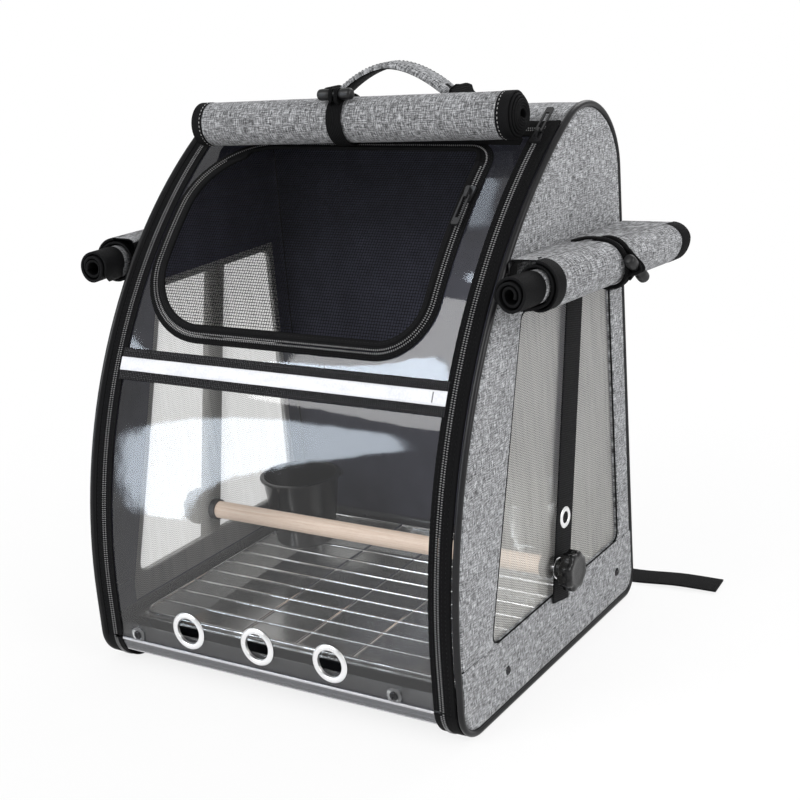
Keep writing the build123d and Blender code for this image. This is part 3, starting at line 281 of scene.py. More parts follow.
# ---- Materials ----
class Shader:
    """A procedural material around one Principled shader."""

    def __init__(self, name, colour, roughness, **constants):
        self.material = bpy.data.materials.new(name)
        self.material.use_nodes = True
        self.nodes, self.links = self.material.node_tree.nodes, self.material.node_tree.links
        self.bsdf = self.nodes["Principled BSDF"]
        self.out = self.nodes["Material Output"]
        self.set(self.bsdf, {"Base Color": colour, "Roughness": roughness,
                             **{k.replace("_", " "): v for k, v in constants.items()}})

    def set(self, node, values):
        for key, value in values.items():
            socket = node.inputs[key]
            if isinstance(value, bpy.types.NodeSocket):
                self.links.new(value, socket)
            elif socket.type == "RGBA":
                socket.default_value = (*value, 1.0) if len(value) == 3 else value
            else:
                socket.default_value = value
        return node

    def node(self, kind, values=None, **settings):
        node = self.nodes.new(kind)
        for key, value in settings.items():
            setattr(node, key, value)
        return self.set(node, values or {})

    def math(self, operation, a, b=0.0, clamp=False):
        return self.node("ShaderNodeMath", {0: a, 1: b}, operation=operation, use_clamp=clamp).outputs[0]

    def weave(self):
        """The piece's own surface coordinates, in millimetres."""
        return self.node("ShaderNodeAttribute", attribute_name="weave").outputs["Vector"]

    def place(self):
        """Object coordinates in millimetres."""
        coords = self.node("ShaderNodeTexCoord").outputs["Object"]
        return self.scaled(coords, (1000.0, 1000.0, 1000.0))

    def scaled(self, vector, scale, shift=(0.0, 0.0, 0.0)):
        node = self.node("ShaderNodeVectorMath", {0: vector, 1: scale, 2: shift}, operation="MULTIPLY_ADD")
        return node.outputs[0]

    def noise(self, vector, detail=2.0, rough=0.5, scale=1.0):
        node = self.node("ShaderNodeTexNoise",
                         {"Vector": vector, "Scale": scale, "Detail": detail, "Roughness": rough})
        return node.outputs["Fac"]

    def spread(self, value, low, high, new_low=0.0, new_high=1.0):
        values = {"Value": value, "From Min": low, "From Max": high, "To Min": new_low, "To Max": new_high}
        return self.node("ShaderNodeMapRange", values).outputs["Result"]

    def mix(self, share, a, b):
        node = self.node("ShaderNodeMix", {0: share, 6: a, 7: b}, data_type="RGBA")
        return node.outputs[2]

    def bump(self, height, distance, strength=1.0):
        node = self.node("ShaderNodeBump", {"Height": height, "Distance": distance * MM,
                                            "Strength": strength})
        self.links.new(node.outputs[0], self.bsdf.inputs["Normal"])
        return node.outputs[0]

    def colour(self, socket):
        self.links.new(socket, self.bsdf.inputs["Base Color"])

    def axis(self, vector, index):
        return self.node("ShaderNodeSeparateXYZ", {0: vector}).outputs[index]

    def ribs(self, value, pitch):
        """Rounded ribs from 0 to 1, pitch millimetres apart."""
        wave = self.math("SINE", self.math("MULTIPLY", value, 2 * pi / pitch))
        return self.math("MULTIPLY_ADD", wave, 0.5)


def melange(name, dark, middle, light, tint=(0.985, 1.0, 1.035)):
    """Two-tone woven polyester: short light and dark slubs in both directions."""
    m = Shader(name, (0.3, 0.3, 0.3), 0.86, Sheen_Weight=0.08, Sheen_Roughness=0.5, Specular_IOR_Level=0.2)
    w = m.weave()
    warp = m.spread(m.noise(m.scaled(w, (1 / 0.72, 1 / 6.5, 0)), 2, 0.6), 0.33, 0.67)
    weft = m.spread(m.noise(m.scaled(w, (1 / 6.5, 1 / 0.72, 0), (31, 17, 5)), 2, 0.6), 0.33, 0.67)
    grain = m.spread(m.noise(m.scaled(w, (1 / 0.9, 1 / 0.9, 0), (7, 3, 9)), 1, 0.5), 0.35, 0.65)
    cloud = m.noise(m.scaled(w, (1 / 30, 1 / 30, 0), (3, 8, 1)), 2, 0.5)
    both = m.math("ADD", m.math("MULTIPLY", warp, 0.44), m.math("MULTIPLY", weft, 0.40))
    value = m.math("ADD", both, m.math("MULTIPLY", grain, 0.16))
    value = m.math("ADD", value, m.spread(cloud, 0.3, 0.7, -0.03, 0.03))
    ramp = m.node("ShaderNodeValToRGB", {0: value})
    stops = ramp.color_ramp.elements
    stops[0].position, stops[0].color = 0.2, (*[dark * t for t in tint], 1)
    stops[1].position, stops[1].color = 0.8, (*[light * t for t in tint], 1)
    mid = stops.new(0.5)
    mid.color = (*[middle * t for t in tint], 1)
    m.colour(ramp.outputs[0])
    thread = m.math("MULTIPLY", m.ribs(m.axis(w, 0), 0.62), m.ribs(m.axis(w, 1), 0.62))
    m.bump(m.math("ADD", m.math("MULTIPLY", value, 0.8), m.math("MULTIPLY", thread, 0.4)), 0.3, 0.8)
    return m.material


def woven(name, colour, pitch=0.5, depth=0.08, rough=0.8, variation=0.25, cad=False, **constants):
    """Plain fine cloth, such as lining, binding and thread."""
    m = Shader(name, colour, rough, Specular_IOR_Level=0.1, **constants)
    w = m.place() if cad else m.weave()
    cloth = m.math("MULTIPLY", m.ribs(m.axis(w, 0), pitch), m.ribs(m.axis(w, 1), pitch))
    cloud = m.noise(m.scaled(w, (1 / 22, 1 / 22, 1 / 22)), 3, 0.55)
    fine = m.noise(m.scaled(w, (1 / 0.8, 1 / 0.8, 1 / 0.8)), 2, 0.5)
    share = m.spread(m.math("ADD", m.math("MULTIPLY", cloud, 0.6), m.math("MULTIPLY", fine, 0.4)), 0.3, 0.7)
    low, high = ([c * (1 + k * variation) for c in colour] for k in (-1, 1))
    m.colour(m.mix(share, low, high))
    m.bump(m.math("ADD", cloth, fine), depth, 0.8)
    return m.material


def ribbed(name, colour, pitch, along, depth=0.25, rough=0.72, light=2.2):
    """Webbing and tape: ribs across or along the strap, crossed by fine yarns."""
    m = Shader(name, colour, rough, Specular_IOR_Level=0.1)
    w = m.weave()
    u, v = m.axis(w, 0), m.axis(w, 1)
    main, other = (u, v) if along else (v, u)
    yarn = m.ribs(m.math("ADD", other, m.math("MULTIPLY", m.ribs(main, pitch), pitch * 0.5)), pitch * 0.8)
    rib = m.ribs(main, pitch)
    height = m.math("ADD", rib, m.math("MULTIPLY", yarn, 0.55))
    fuzz = m.noise(m.scaled(w, (1 / 1.2, 1 / 1.2, 0)), 2, 0.6)
    lit = m.math("MULTIPLY", m.math("MULTIPLY", rib, yarn), m.spread(fuzz, 0.3, 0.75))
    m.colour(m.mix(lit, [c * 0.6 for c in colour], [c * light for c in colour]))
    m.bump(height, depth, 1.0)
    return m.material


def plastic(name, colour, rough, grain=0.02, cad=False, **constants):
    m = Shader(name, colour, rough, **constants)
    w = m.place() if cad else m.weave()
    fine = m.noise(m.scaled(w, (1 / 0.9, 1 / 0.9, 1 / 0.9)), 3, 0.6)
    wear = m.noise(m.scaled(w, (1 / 14, 1 / 14, 1 / 14)), 3, 0.6)
    m.set(m.bsdf, {"Roughness": m.spread(wear, 0.3, 0.7, rough * 0.8, min(1.0, rough * 1.25))})
    m.colour(m.mix(wear, [c * 0.85 for c in colour], [min(1.0, c * 1.15 + 0.001) for c in colour]))
    m.bump(fine, grain, 0.6)
    return m.material


def metal(name, colour, rough, brushed=None, cad=True, scratch=0.02):
    """Metal with fine wear; brushed is the scale along which the grain is stretched."""
    m = Shader(name, colour, rough, Metallic=1.0)
    w = m.place() if cad else m.weave()
    grain = m.noise(m.scaled(w, brushed or (0.8, 0.8, 0.8)), 4, 0.65)
    cloud = m.noise(m.scaled(w, (1 / 30, 1 / 30, 1 / 30)), 3, 0.6)
    m.set(m.bsdf, {"Roughness": m.spread(m.math("ADD", grain, cloud), 0.7, 1.3, rough * 0.75, rough * 1.35)})
    m.colour(m.mix(cloud, [c * 0.9 for c in colour], [min(1.0, c * 1.06) for c in colour]))
    m.bump(grain, scratch, 0.5)
    return m.material


def sheer(name, tint, rough, ior=1.45, haze=0.0, haze_colour=(0.6, 0.6, 0.62), waviness=0.0, gain=1.0,
          cad=False):
    """Thin clear plastic: light goes straight through, with a reflection that grows at a glance."""
    m = Shader(name, haze_colour, rough)
    w = m.place() if cad else m.weave()
    clear = m.node("ShaderNodeBsdfTransparent", {"Color": tint})
    gloss = m.node("ShaderNodeBsdfAnisotropic", {"Color": (1, 1, 1), "Roughness": rough})
    edge = m.node("ShaderNodeFresnel", {"IOR": ior})
    cloud = m.noise(m.scaled(w, (1 / 35, 1 / 35, 1 / 35)), 2, 0.5)
    scuff = m.noise(m.scaled(w, (1 / 3, 1 / 0.6, 1 / 3)), 3, 0.7)
    height = m.math("ADD", m.math("MULTIPLY", cloud, 1.0), m.math("MULTIPLY", scuff, 0.004))
    bump = m.bump(height, max(waviness, 0.001), 1.0)
    m.links.new(bump, gloss.inputs["Normal"])
    m.links.new(bump, edge.inputs["Normal"])
    share = m.math("MULTIPLY", edge.outputs[0], gain, clamp=True)
    front = m.node("ShaderNodeMixShader", {0: share, 1: clear.outputs[0], 2: gloss.outputs[0]})
    # The haze mixes a plain surface of haze_colour over the clear shader along the scuff pattern. This is
    # real haze on the other pieces, a painted highlight on the sill's pale edges and painted shade on the
    # darkened left cup.
    haze_and_painted_light = m.spread(scuff, 0.25, 0.8, haze * 0.7, haze * 1.3)
    final = m.node("ShaderNodeMixShader", {0: haze_and_painted_light, 1: front.outputs[0], 2: m.bsdf.outputs[0]})
    m.links.new(final.outputs[0], m.out.inputs[0])
    return m.material


def wood(name):
    """Sanded pale beech, its grain along X. Its faint emission is painted light that lifts the perch out of
    the shade inside the bag.
    """
    # Emission strength and warm emission colour: painted light, since the perch is no lamp.
    m = Shader(name, (0.6, 0.45, 0.34), 0.5, Specular_IOR_Level=0.4, Emission_Strength=0.2)
    m.set(m.bsdf, {"Emission Color": (0.9, 0.7, 0.56)})
    w = m.place()
    grain = m.noise(m.scaled(w, (1 / 60, 1 / 1.3, 1 / 1.3)), 4, 0.6)
    fleck = m.noise(m.scaled(w, (1 / 5, 1 / 0.5, 1 / 0.5), (3, 2, 1)), 2, 0.5)
    m.colour(m.mix(m.spread(m.math("ADD", grain, m.math("MULTIPLY", fleck, 0.35)), 0.5, 0.85),
                   (0.95, 0.80, 0.68), (0.76, 0.58, 0.45)))
    m.bump(m.math("ADD", grain, fleck), 0.08, 0.5)
    return m.material


def pale_mesh(name):
    """Fine pale window mesh in a zigzag knit, partly open, that lets light glow through."""
    m = Shader(name, (0.86, 0.85, 0.81), 0.8, Specular_IOR_Level=0.2)
    w = m.weave()
    u, v = m.axis(w, 0), m.axis(w, 1)
    zigzag = m.math("PINGPONG", u, 1.9)
    row = m.ribs(m.math("ADD", v, zigzag), 1.9)
    fine = m.noise(m.scaled(w, (1 / 0.9, 1 / 0.9, 0)), 2, 0.5)
    cloud = m.noise(m.scaled(w, (1 / 6, 1 / 90, 0)), 3, 0.6)
    body = m.math("ADD", m.math("MULTIPLY", row, 0.8), m.math("MULTIPLY", fine, 0.2))
    solid = m.math("ADD", m.spread(body, 0.15, 0.85, 0.36, 0.74), m.spread(cloud, 0.3, 0.7, -0.05, 0.05),
                   clamp=True)
    tint = m.mix(m.spread(body, 0.2, 0.8), (0.62, 0.61, 0.575), (0.93, 0.925, 0.89))
    m.colour(tint)
    m.bump(body, 0.25, 0.9)
    through = m.node("ShaderNodeBsdfTranslucent", {"Color": tint})
    cloth = m.node("ShaderNodeMixShader", {0: 0.45, 1: m.bsdf.outputs[0], 2: through.outputs[0]})
    clear = m.node("ShaderNodeBsdfTransparent", {"Color": (1, 1, 1)})
    mix = m.node("ShaderNodeMixShader", {0: solid, 1: clear.outputs[0], 2: cloth.outputs[0]})
    m.links.new(mix.outputs[0], m.out.inputs[0])
    return m.material


def reflector(name):
    """Silver reflective film, faintly pricked in a fine hexagon pattern."""
    m = Shader(name, (0.7, 0.71, 0.74), 0.5, Metallic=0.1)
    w = m.weave()
    cells = m.node("ShaderNodeTexVoronoi", {"Vector": m.scaled(w, (1, 1, 1)), "Scale": 1 / 1.4}, feature="F1")
    cloud = m.noise(m.scaled(w, (1 / 9, 1 / 30, 0)), 3, 0.6)
    share = m.math("ADD", m.math("MULTIPLY", cells.outputs["Distance"], 0.25),
                   m.math("MULTIPLY", cloud, 0.75))
    m.colour(m.mix(m.spread(share, 0.25, 0.75), (0.80, 0.805, 0.83), (0.60, 0.61, 0.65)))
    m.bump(cells.outputs["Distance"], 0.05, 0.5)
    return m.material


GREY = melange("grey melange", 0.04, 0.235, 0.62)
GREY_ROLL = melange("grey melange of the rolled covers", 0.035, 0.205, 0.57)
LINING = woven("dark lining", (0.058, 0.060, 0.086), 0.45, 0.05, 0.62)
LINING_CAD = woven("dark base lining", (0.05, 0.052, 0.062), 0.45, 0.05, 0.62, cad=True)
BLACK_LINING = woven("black cover lining", (0.005, 0.005, 0.0055), 0.5, 0.12, 0.7)
BINDING = woven("black binding", (0.005, 0.005, 0.0055), 0.7, 0.2, 0.7, 0.4)
PIPING = woven("black piping", (0.012, 0.012, 0.013), 0.7, 0.03, 0.3, 0.3, cad=True, Coat_Weight=0.25,
               Coat_Roughness=0.22)
WEBBING = ribbed("black webbing", (0.0055, 0.0055, 0.006), 1.7, along=False, light=8.0)
BAND = ribbed("black band", (0.006, 0.006, 0.0065), 1.7, along=False, light=26.0)
TAPE_CLOTH = ribbed("zip tape", (0.004, 0.004, 0.0045), 0.9, along=True, depth=0.2, light=2.6)
ELASTIC = ribbed("black elastic", (0.004, 0.004, 0.0045), 1.5, along=True, depth=0.5, light=2.4)
# Mid-grey base colour on the black coil teeth: a painted highlight that stands in for the glints along the
# zips.
COIL_WITH_PAINTED_GLINT = plastic("zip coil with painted glint", (0.24, 0.24, 0.245), 0.28, 0.01, Coat_Weight=0.4, Coat_Roughness=0.2)
THREAD_WHITE = woven("pale thread", (0.62, 0.62, 0.62), 0.3, 0.03)
THREAD_DARK = woven("dark thread", (0.016, 0.016, 0.017), 0.3, 0.03)
SEAM_SHADE = woven("seam in the film", (0.25, 0.25, 0.26), 0.3, 0.03)
THREAD_GREY = woven("grey thread", (0.07, 0.07, 0.075), 0.3, 0.03)
AIR_MESH = ribbed("black air mesh", (0.012, 0.012, 0.013), 2.6, along=False, depth=0.6, light=2.6)
NET = woven("black net", (0.004, 0.004, 0.0045), 0.35, 0.03, 0.6)
PVC = sheer("clear sheet", (0.965, 0.97, 0.975), 0.04, 1.5, haze=0.01, waviness=0.1, gain=1.15)
HAZY = sheer("hazy clear edge", (0.62, 0.63, 0.66), 0.16, 1.5, haze=0.3, haze_colour=(0.2, 0.205, 0.225),
             waviness=0.15)
# Its pale haze is a painted highlight: the bright lines along the sill's fold bead and lower edge.
HAZY_EDGE_PAINTED_HIGHLIGHT = sheer("clear edge with painted highlight", (0.94, 0.94, 0.95), 0.1, 1.5, haze=0.55, haze_colour=(0.86, 0.86, 0.9),
                  waviness=0.1)
CLEAR = sheer("clear moulded plastic", (0.93, 0.945, 0.95), 0.06, 1.49, haze=0.10, waviness=0.05, gain=1.3)
CLEAR_CAD = sheer("clear rim plastic", (0.9, 0.91, 0.915), 0.07, 1.49, haze=0.05, waviness=0.05, cad=True)
# The left cup is clear plastic. Its dark tint and dark haze are painted shade for the dark inside of the bag
# seen through it.
CLEAR_WITH_PAINTED_SHADE = sheer("clear moulded plastic with painted shade", (0.16, 0.16, 0.165), 0.07, 1.49, haze=0.35,
              haze_colour=(0.012, 0.012, 0.014), waviness=0.05)
PALE_MESH = pale_mesh("pale window mesh")
SILVER = reflector("silver reflective film")
RING = metal("pale plated ring", (0.93, 0.93, 0.935), 0.3, cad=False)
STEEL = metal("brushed stainless steel", (0.60, 0.60, 0.595), 0.2, (1 / 40, 1 / 0.35, 1 / 0.35))
WIRE = metal("polished wire", (0.82, 0.82, 0.81), 0.16)
ZINC = metal("zinc plated bolt", (0.5, 0.5, 0.5), 0.3)
ENAMEL = plastic("black enamel", (0.012, 0.012, 0.013), 0.28, 0.01, cad=True, Coat_Weight=0.3)
SATIN_CAD = plastic("black buckle plastic", (0.01, 0.01, 0.011), 0.42, 0.03, cad=True)
SATIN = plastic("black toggle plastic", (0.006, 0.006, 0.0065), 0.36, 0.03, Specular_IOR_Level=0.35)
KNOB = plastic("glossy black plastic", (0.005, 0.005, 0.0055), 0.2, 0.01, Specular_IOR_Level=0.35)
SCREW = plastic("black screw", (0.022, 0.022, 0.024), 0.25, 0.02, Metallic=0.6)
BEECH_WITH_PAINTED_GLOW = wood("pale beech")


# ---- Bag shell ----
def resample(points, count):
    """Points spaced evenly along a line."""
    points = np.asarray(points, float)
    run = lengths(points)
    want = np.linspace(0, run[-1], count)
    return np.stack([np.interp(want, run, points[:, k]) for k in range(points.shape[1])], -1)


def arc(centre, radius, start, end, count=8):
    turns = np.linspace(start, end, count)
    return [(centre[0] + radius * cos(t), centre[1] + radius * sin(t)) for t in turns]


WINDOW_Y = (-97.4, 118.0)
WINDOW_TOP, WINDOW_LEAN, WINDOW_CORNER = 286.0, 0.306, 8.0


def window_corner(corner, before, after, radius):
    """Rounded corner of the window as points (y, z)."""
    corner = np.array(corner, float)
    a, b = unit(np.array(before, float) - corner), unit(np.array(after, float) - corner)
    half = np.arccos(np.clip(a @ b, -1, 1)) / 2
    reach = radius / np.tan(half)
    p, q = corner + a * reach, corner + b * reach
    return [(1 - k) ** 2 * p + 2 * k * (1 - k) * corner + k ** 2 * q for k in np.linspace(0, 1, 8)]


def window_line():
    """Window outline in three runs, from the bottom front corner over the top to the bottom back corner."""
    top_y = WINDOW_Y[0] + WINDOW_LEAN * (WINDOW_TOP - SKIRT)
    low_front, low_back = (WINDOW_Y[0], SKIRT), (WINDOW_Y[1], SKIRT)
    high_front, high_back = (top_y, WINDOW_TOP), (WINDOW_Y[1], WINDOW_TOP)
    a = window_corner(low_front, low_back, high_front, WINDOW_CORNER)
    b = window_corner(high_front, low_front, high_back, WINDOW_CORNER)
    c = window_corner(high_back, high_front, low_back, WINDOW_CORNER)
    d = window_corner(low_back, high_back, low_front, WINDOW_CORNER)
    return [a + b[:4], b[4:] + c[:4], c[4:] + d]


def outer_line():
    """Edge of the side panel beside the piping, in the same three runs."""
    inset = 2 * PIPE
    runs = [(SKIRT, 345.0), (345.0, S_BACK + 20.0), (S_BACK + 20.0, S_BACK + CROWN_Z - SKIRT)]
    return [np.stack(profile(stations(a, b, 4.0), inset), -1) for a, b in runs]


def soft_shares(count):
    """Shares from 0 to 1 that crowd towards both ends."""
    t = np.linspace(0, 1, count)
    return t - np.sin(2 * pi * t) / (2 * pi) * 0.82


def panel_piece(edge_a, edge_b, side, count, seed):
    share = soft_shares(count)
    flat = edge_a[:, None] * (1 - share[None, :, None]) + edge_b[:, None] * share[None, :, None]
    width = np.linalg.norm(edge_b - edge_a, axis=1)[:, None]
    near = np.minimum(share[None] * width, (1 - share[None]) * width)
    drop = 1.8 * np.exp(-(near / 1.3) ** 2)
    lift = 0.6 * waves(flat[..., 0], flat[..., 1], seed, 75.0) * np.clip(near / 18.0, 0, 1)
    outer = (HALF - 0.4 - drop + lift) * side
    inner = np.broadcast_to((HALF - 3.9) * side, outer.shape)
    front = np.concatenate([outer[..., None], flat], -1)
    back = np.concatenate([inner[..., None], flat], -1)[:, ::-1]
    points = np.concatenate([front, back], 1)
    if side < 0:
        points = points[:, ::-1]
    slots = [0] * (count - 1) + [0] + [1] * (count - 1) + [0]
    if side < 0:
        slots = slots[::-1][1:] + slots[::-1][:1]
    piece = Piece()
    piece.grid(points, points[..., 1:], slots, loop=True, caps=0)
    return piece


def skirt_lines():
    y = np.concatenate([np.linspace(-141, -128, 14), np.linspace(-120, 118, 60), np.linspace(124, 141, 16)])
    front_r, back_r = FRONT_CORNER - 2 * PIPE, BACK_CORNER - 2 * PIPE
    front_y, back_y = FRONT + FRONT_CORNER, BACK - BACK_CORNER
    low = np.full_like(y, 2 * PIPE)
    f, b = y < front_y, y > back_y
    low[f] = FRONT_CORNER - np.sqrt(np.clip(front_r ** 2 - (y[f] - front_y) ** 2, 0, None))
    low[b] = BACK_CORNER - np.sqrt(np.clip(back_r ** 2 - (y[b] - back_y) ** 2, 0, None))
    return np.stack([y, low], -1), np.stack([y, np.full_like(y, SKIRT - 0.2)], -1)


def side_panels():
    inner = [np.asarray(run, float) for run in window_line()]
    outer = outer_line()
    counts = (70, 56, 60)
    edge_a = np.concatenate([resample(run, n)[(0 if i == 0 else 1):] for i,
                             (run, n) in enumerate(zip(outer, counts))])
    edge_b = np.concatenate([resample(run, n)[(0 if i == 0 else 1):] for i,
                             (run, n) in enumerate(zip(inner, counts))])
    low, high = skirt_lines()
    for k, (side, way) in enumerate(SIDES):
        piece = panel_piece(edge_a, edge_b, way, 30, 11 + k)
        piece.build("fabric_side_panel_" + side, "root", [GREY, LINING], "grey_melange",
                    ["side_panel_" + side], 60)
        piece = panel_piece(low, high, way, 18, 21 + k)
        piece.build("fabric_side_skirt_" + side, "root", [GREY, LINING], "grey_melange",
                    ["side_skirt_" + side], 60)
        seams = Piece()
        x = (HALF - 1.0) * way
        line = np.array([(x, y, SKIRT - 0.1) for y in np.linspace(-140.5, 140.5, 60)])
        sweep(seams, line, (way, 0, 0), oval(1.3, 1.3, 8))
        edge = np.concatenate([np.full((len(edge_b), 1), (HALF - 1.6) * way), edge_b], 1)
        sweep(seams, edge, (way, 0, 0), oval(1.5, 1.4, 8))
        seams.build("panel_seams_" + side, "root", [BINDING], "black_binding")


def side_windows():
    grow = 6.0
    for side, way in SIDES:
        z = stations(37.0, WINDOW_TOP + grow, 4.0)
        share = np.linspace(0, 1, 60)
        front_y = WINDOW_Y[0] - grow + WINDOW_LEAN * (np.maximum(z, SKIRT - grow) - SKIRT)
        y = front_y[:, None] * (1 - share) + (WINDOW_Y[1] + grow) * share
        zz = np.broadcast_to(z[:, None], y.shape)
        edge = np.minimum(np.minimum(share * 200, (1 - share) * 200)[None], (WINDOW_TOP + grow - zz))
        x = way * (HALF - 4.5 + 0.25 * waves(y, zz, 5, 90.0) * np.clip(edge / 20, 0, 1))
        points = np.stack([x, y, zz], -1)
        piece = Piece().grid(points, points[..., 1:])
        obj = piece.build("window_mesh_" + side, "root", [PALE_MESH], "pale_mesh", ["side_mesh_" + side])


def crown_and_back():
    s = np.concatenate([stations(482.8, S_BACK, 3.0)])
    x = INNER * (2 * soft_shares(60) - 1)
    near = INNER - np.abs(x)
    edge = np.minimum(s - s[0], 60)[:, None]
    inset = 1.6 + 1.6 * np.exp(-(near / 2.0) ** 2)[None] + 1.4 * np.exp(-(edge / 2.0) ** 2)
    inset = inset - 0.8 * waves(x[None], s[:, None], 31, 90.0) * np.clip(near / 20, 0,
            1)[None] * np.clip(edge / 20, 0, 1)
    outer = on_front(x[None], s[:, None], inset)
    inner = on_front(x[None, ::-1], s[:, None], 5.0)
    weave = np.stack(np.broadcast_arrays(x[None], s[:, None]), -1)
    weave = np.concatenate([weave, weave[:, ::-1]], 1)
    slots = [0] * (len(x) - 1) + [0] + [1] * (len(x) - 1) + [0]
    piece = Piece().grid(np.concatenate([outer, inner], 1), weave, slots, loop=True, caps=0)
    piece.build("fabric_crown", "root", [GREY, LINING], "grey_melange", ["crown_panel"], 60)

    z = stations(14.0, CROWN_Z, 3.0)
    channel = np.abs(((z - 90.0) % 68.0) - 34.0)
    rise = 1.1 * (1 - np.exp(-((34.0 - channel) / 4.0) ** 2)) * ((z > 56) & (z < 366))
    depth = 144.0 + rise[:, None] * np.clip((near / 16)[None], 0, 1) - 1.8 * np.exp(-(near / 2.0) ** 2)[None]
    outer = np.stack(np.broadcast_arrays(x[None], depth, z[:, None]), -1)
    inner = np.stack(np.broadcast_arrays(x[None, ::-1], 141.1, z[:, None]), -1)
    weave = np.stack(np.broadcast_arrays(x[None], z[:, None]), -1)
    weave = np.concatenate([weave, weave[:, ::-1]], 1)
    points = np.concatenate([outer, inner], 1)[:, ::-1]
    piece = Piece().grid(points, weave[:, ::-1], slots[::-1][1:] + slots[::-1][:1], loop=True, caps=0)
    piece.build("fabric_back", "root", [GREY, LINING], "grey_melange", ["back_panel"], 60)
    seams = Piece()
    for level in (90.0 - 34.0 + 68.0 * k for k in range(5)):
        xs = np.arange(-158, 158, 3.6)
        seams.beads([(v, 144.2, level) for v in xs], (1, 0, 0), (0, 1, 0), (2.6, 0.7, 0.7))
    seams.build("back_quilting", "root", [THREAD_DARK], "black_binding")


# ---- Zips ----
def tape_section(x0, x1, face, back, count=5):
    """Closed cross-section of a tape as (x, inset), its outer face first."""
    xs = np.linspace(x0 + 0.35, x1 - 0.35, count)
    top = [(x0, face + 0.28)] + [(x, face) for x in xs] + [(x1, face + 0.28)]
    return np.array(top + [(x1, back), (x0, back)])


def tape(piece, x0, x1, s0, s1, face, back, step=3.0, slot=0, count=5):
    section = tape_section(x0, x1, face, back, count)
    s = stations(s0, s1, step)
    points = on_front(section[None, :, 0], s[:, None], section[None, :, 1])
    weave = np.stack(np.broadcast_arrays(section[None, :, 0], s[:, None]), -1)
    return piece.grid(points, weave, slot, loop=True, caps=slot)


def cross_tape(piece, x0, x1, s0, s1, face, back, step=4.0, slot=0):
    """Tape that runs across the bag."""
    section = tape_section(s0, s1, face, back)
    x = stations(x0, x1, step)
    points = on_front(x[:, None], section[None, :, 0], section[None, :, 1])
    weave = np.stack(np.broadcast_arrays(section[None, :, 0], x[:, None]), -1)
    return piece.grid(points[::-1], weave, slot, loop=True, caps=slot)


def up_front(s):
    """Unit directions up the face and out of it at s."""
    y0, z0 = profile(np.asarray(s) - 0.5)
    y1, z1 = profile(np.asarray(s) + 0.5)
    along = unit(np.stack([np.zeros_like(y0), y1 - y0, z1 - z0], -1))
    out = np.stack([np.zeros_like(y0), -along[..., 2], along[..., 1]], -1)
    return along, out


def teeth(piece, x, s0, s1, inset, width=2.0, pitch=1.75, slot=0, height=1.4):
    s = np.arange(s0, s1, pitch)
    _, out = up_front(s)
    across = np.broadcast_to(np.array([1.0, 0, 0]), out.shape)
    piece.beads(on_front(x, s, inset), across, out, (width, pitch * 0.66, height), slot)


def cross_teeth(piece, x0, x1, s, inset, width=2.0, pitch=1.75, slot=0, height=1.4):
    x = np.arange(x0, x1, pitch)
    along, out = up_front(np.full_like(x, s))
    piece.beads(on_front(x, s, inset), along, out, (width, pitch * 0.66, height), slot)


def stitches(piece, x, s0, s1, inset, slot=0, pitch=3.4, length=2.3):
    s = np.arange(s0 + pitch, s1 - pitch, pitch)
    along, out = up_front(s)
    piece.beads(on_front(x, s, inset), along, out, (length, 0.55, 0.5), slot)


def body_zip():
    low, top = 24.6, DOOR_TOP + 0.4 + TOP_TAPE
    tapes, coils = Piece(), Piece()
    for way in (-1, 1):
        a, b = sorted((way * 153.8, way * INNER))
        tape(tapes, a, b, low, top, 0.2, FACE)
        ridge_a, ridge_b = sorted((way * 161.2, way * 164.6))
        tape(tapes, ridge_a, ridge_b, low, top, -0.35, 0.4)
        a, b = sorted((way * 146.6, way * INNER))
        tape(tapes, a, b, -11.8, low - 0.2, 0.1, FACE, 1.0, count=9)
        teeth(coils, way * 154.75, 27.0, top - 6, 0.1, 1.9)
        teeth(coils, way * 154.6, -10.5, 26.0, 0.0, 1.9)
        teeth(coils, way * 152.6, -10.5, 24.0, 0.0, 1.9)
        stitches(coils, way * 157.6, -8.0, top, 0.15, 1)
        stitches(coils, way * 160.6, -8.0, top, 0.15, 1)
    cross_tape(tapes, -153.6, 153.6, DOOR_TOP + 0.4, top, 0.2, FACE)
    cross_teeth(coils, -152, 152, DOOR_TOP + 1.3, 0.1, 1.8)
    for x in np.arange(-150, 150, 3.4):
        along, out = up_front(DOOR_TOP + 5.0)
        coils.beads(on_front(x, DOOR_TOP + 5.0, 0.15), (1, 0, 0), out, (2.3, 0.55, 0.5), 1)
    tapes.build("body_tapes", "root", [TAPE_CLOTH], "zip_tape", ["body_zip_tapes"])
    coils.build("body_teeth", "root", [COIL_WITH_PAINTED_GLINT, THREAD_DARK], "zip_coil", ["body_zip_coils"], 0)
    frayed = Piece()
    rng = np.random.default_rng(3)
    for way in (-1, 1):
        xs = rng.uniform(147.5, 164, 26) * way
        s = np.full(26, -11.6)
        along, out = up_front(s)
        lean = rng.normal(0, 0.35, (26, 3))
        reach = rng.uniform(1.5, 3.2, 26)
        frayed.beads(on_front(xs, s, 0.6) - along * reach[:, None] * 0.3, along + lean, out, (3.0, 0.4, 0.4))
    frayed.build("frayed_tape_ends", "root", [THREAD_DARK], "zip_tape")


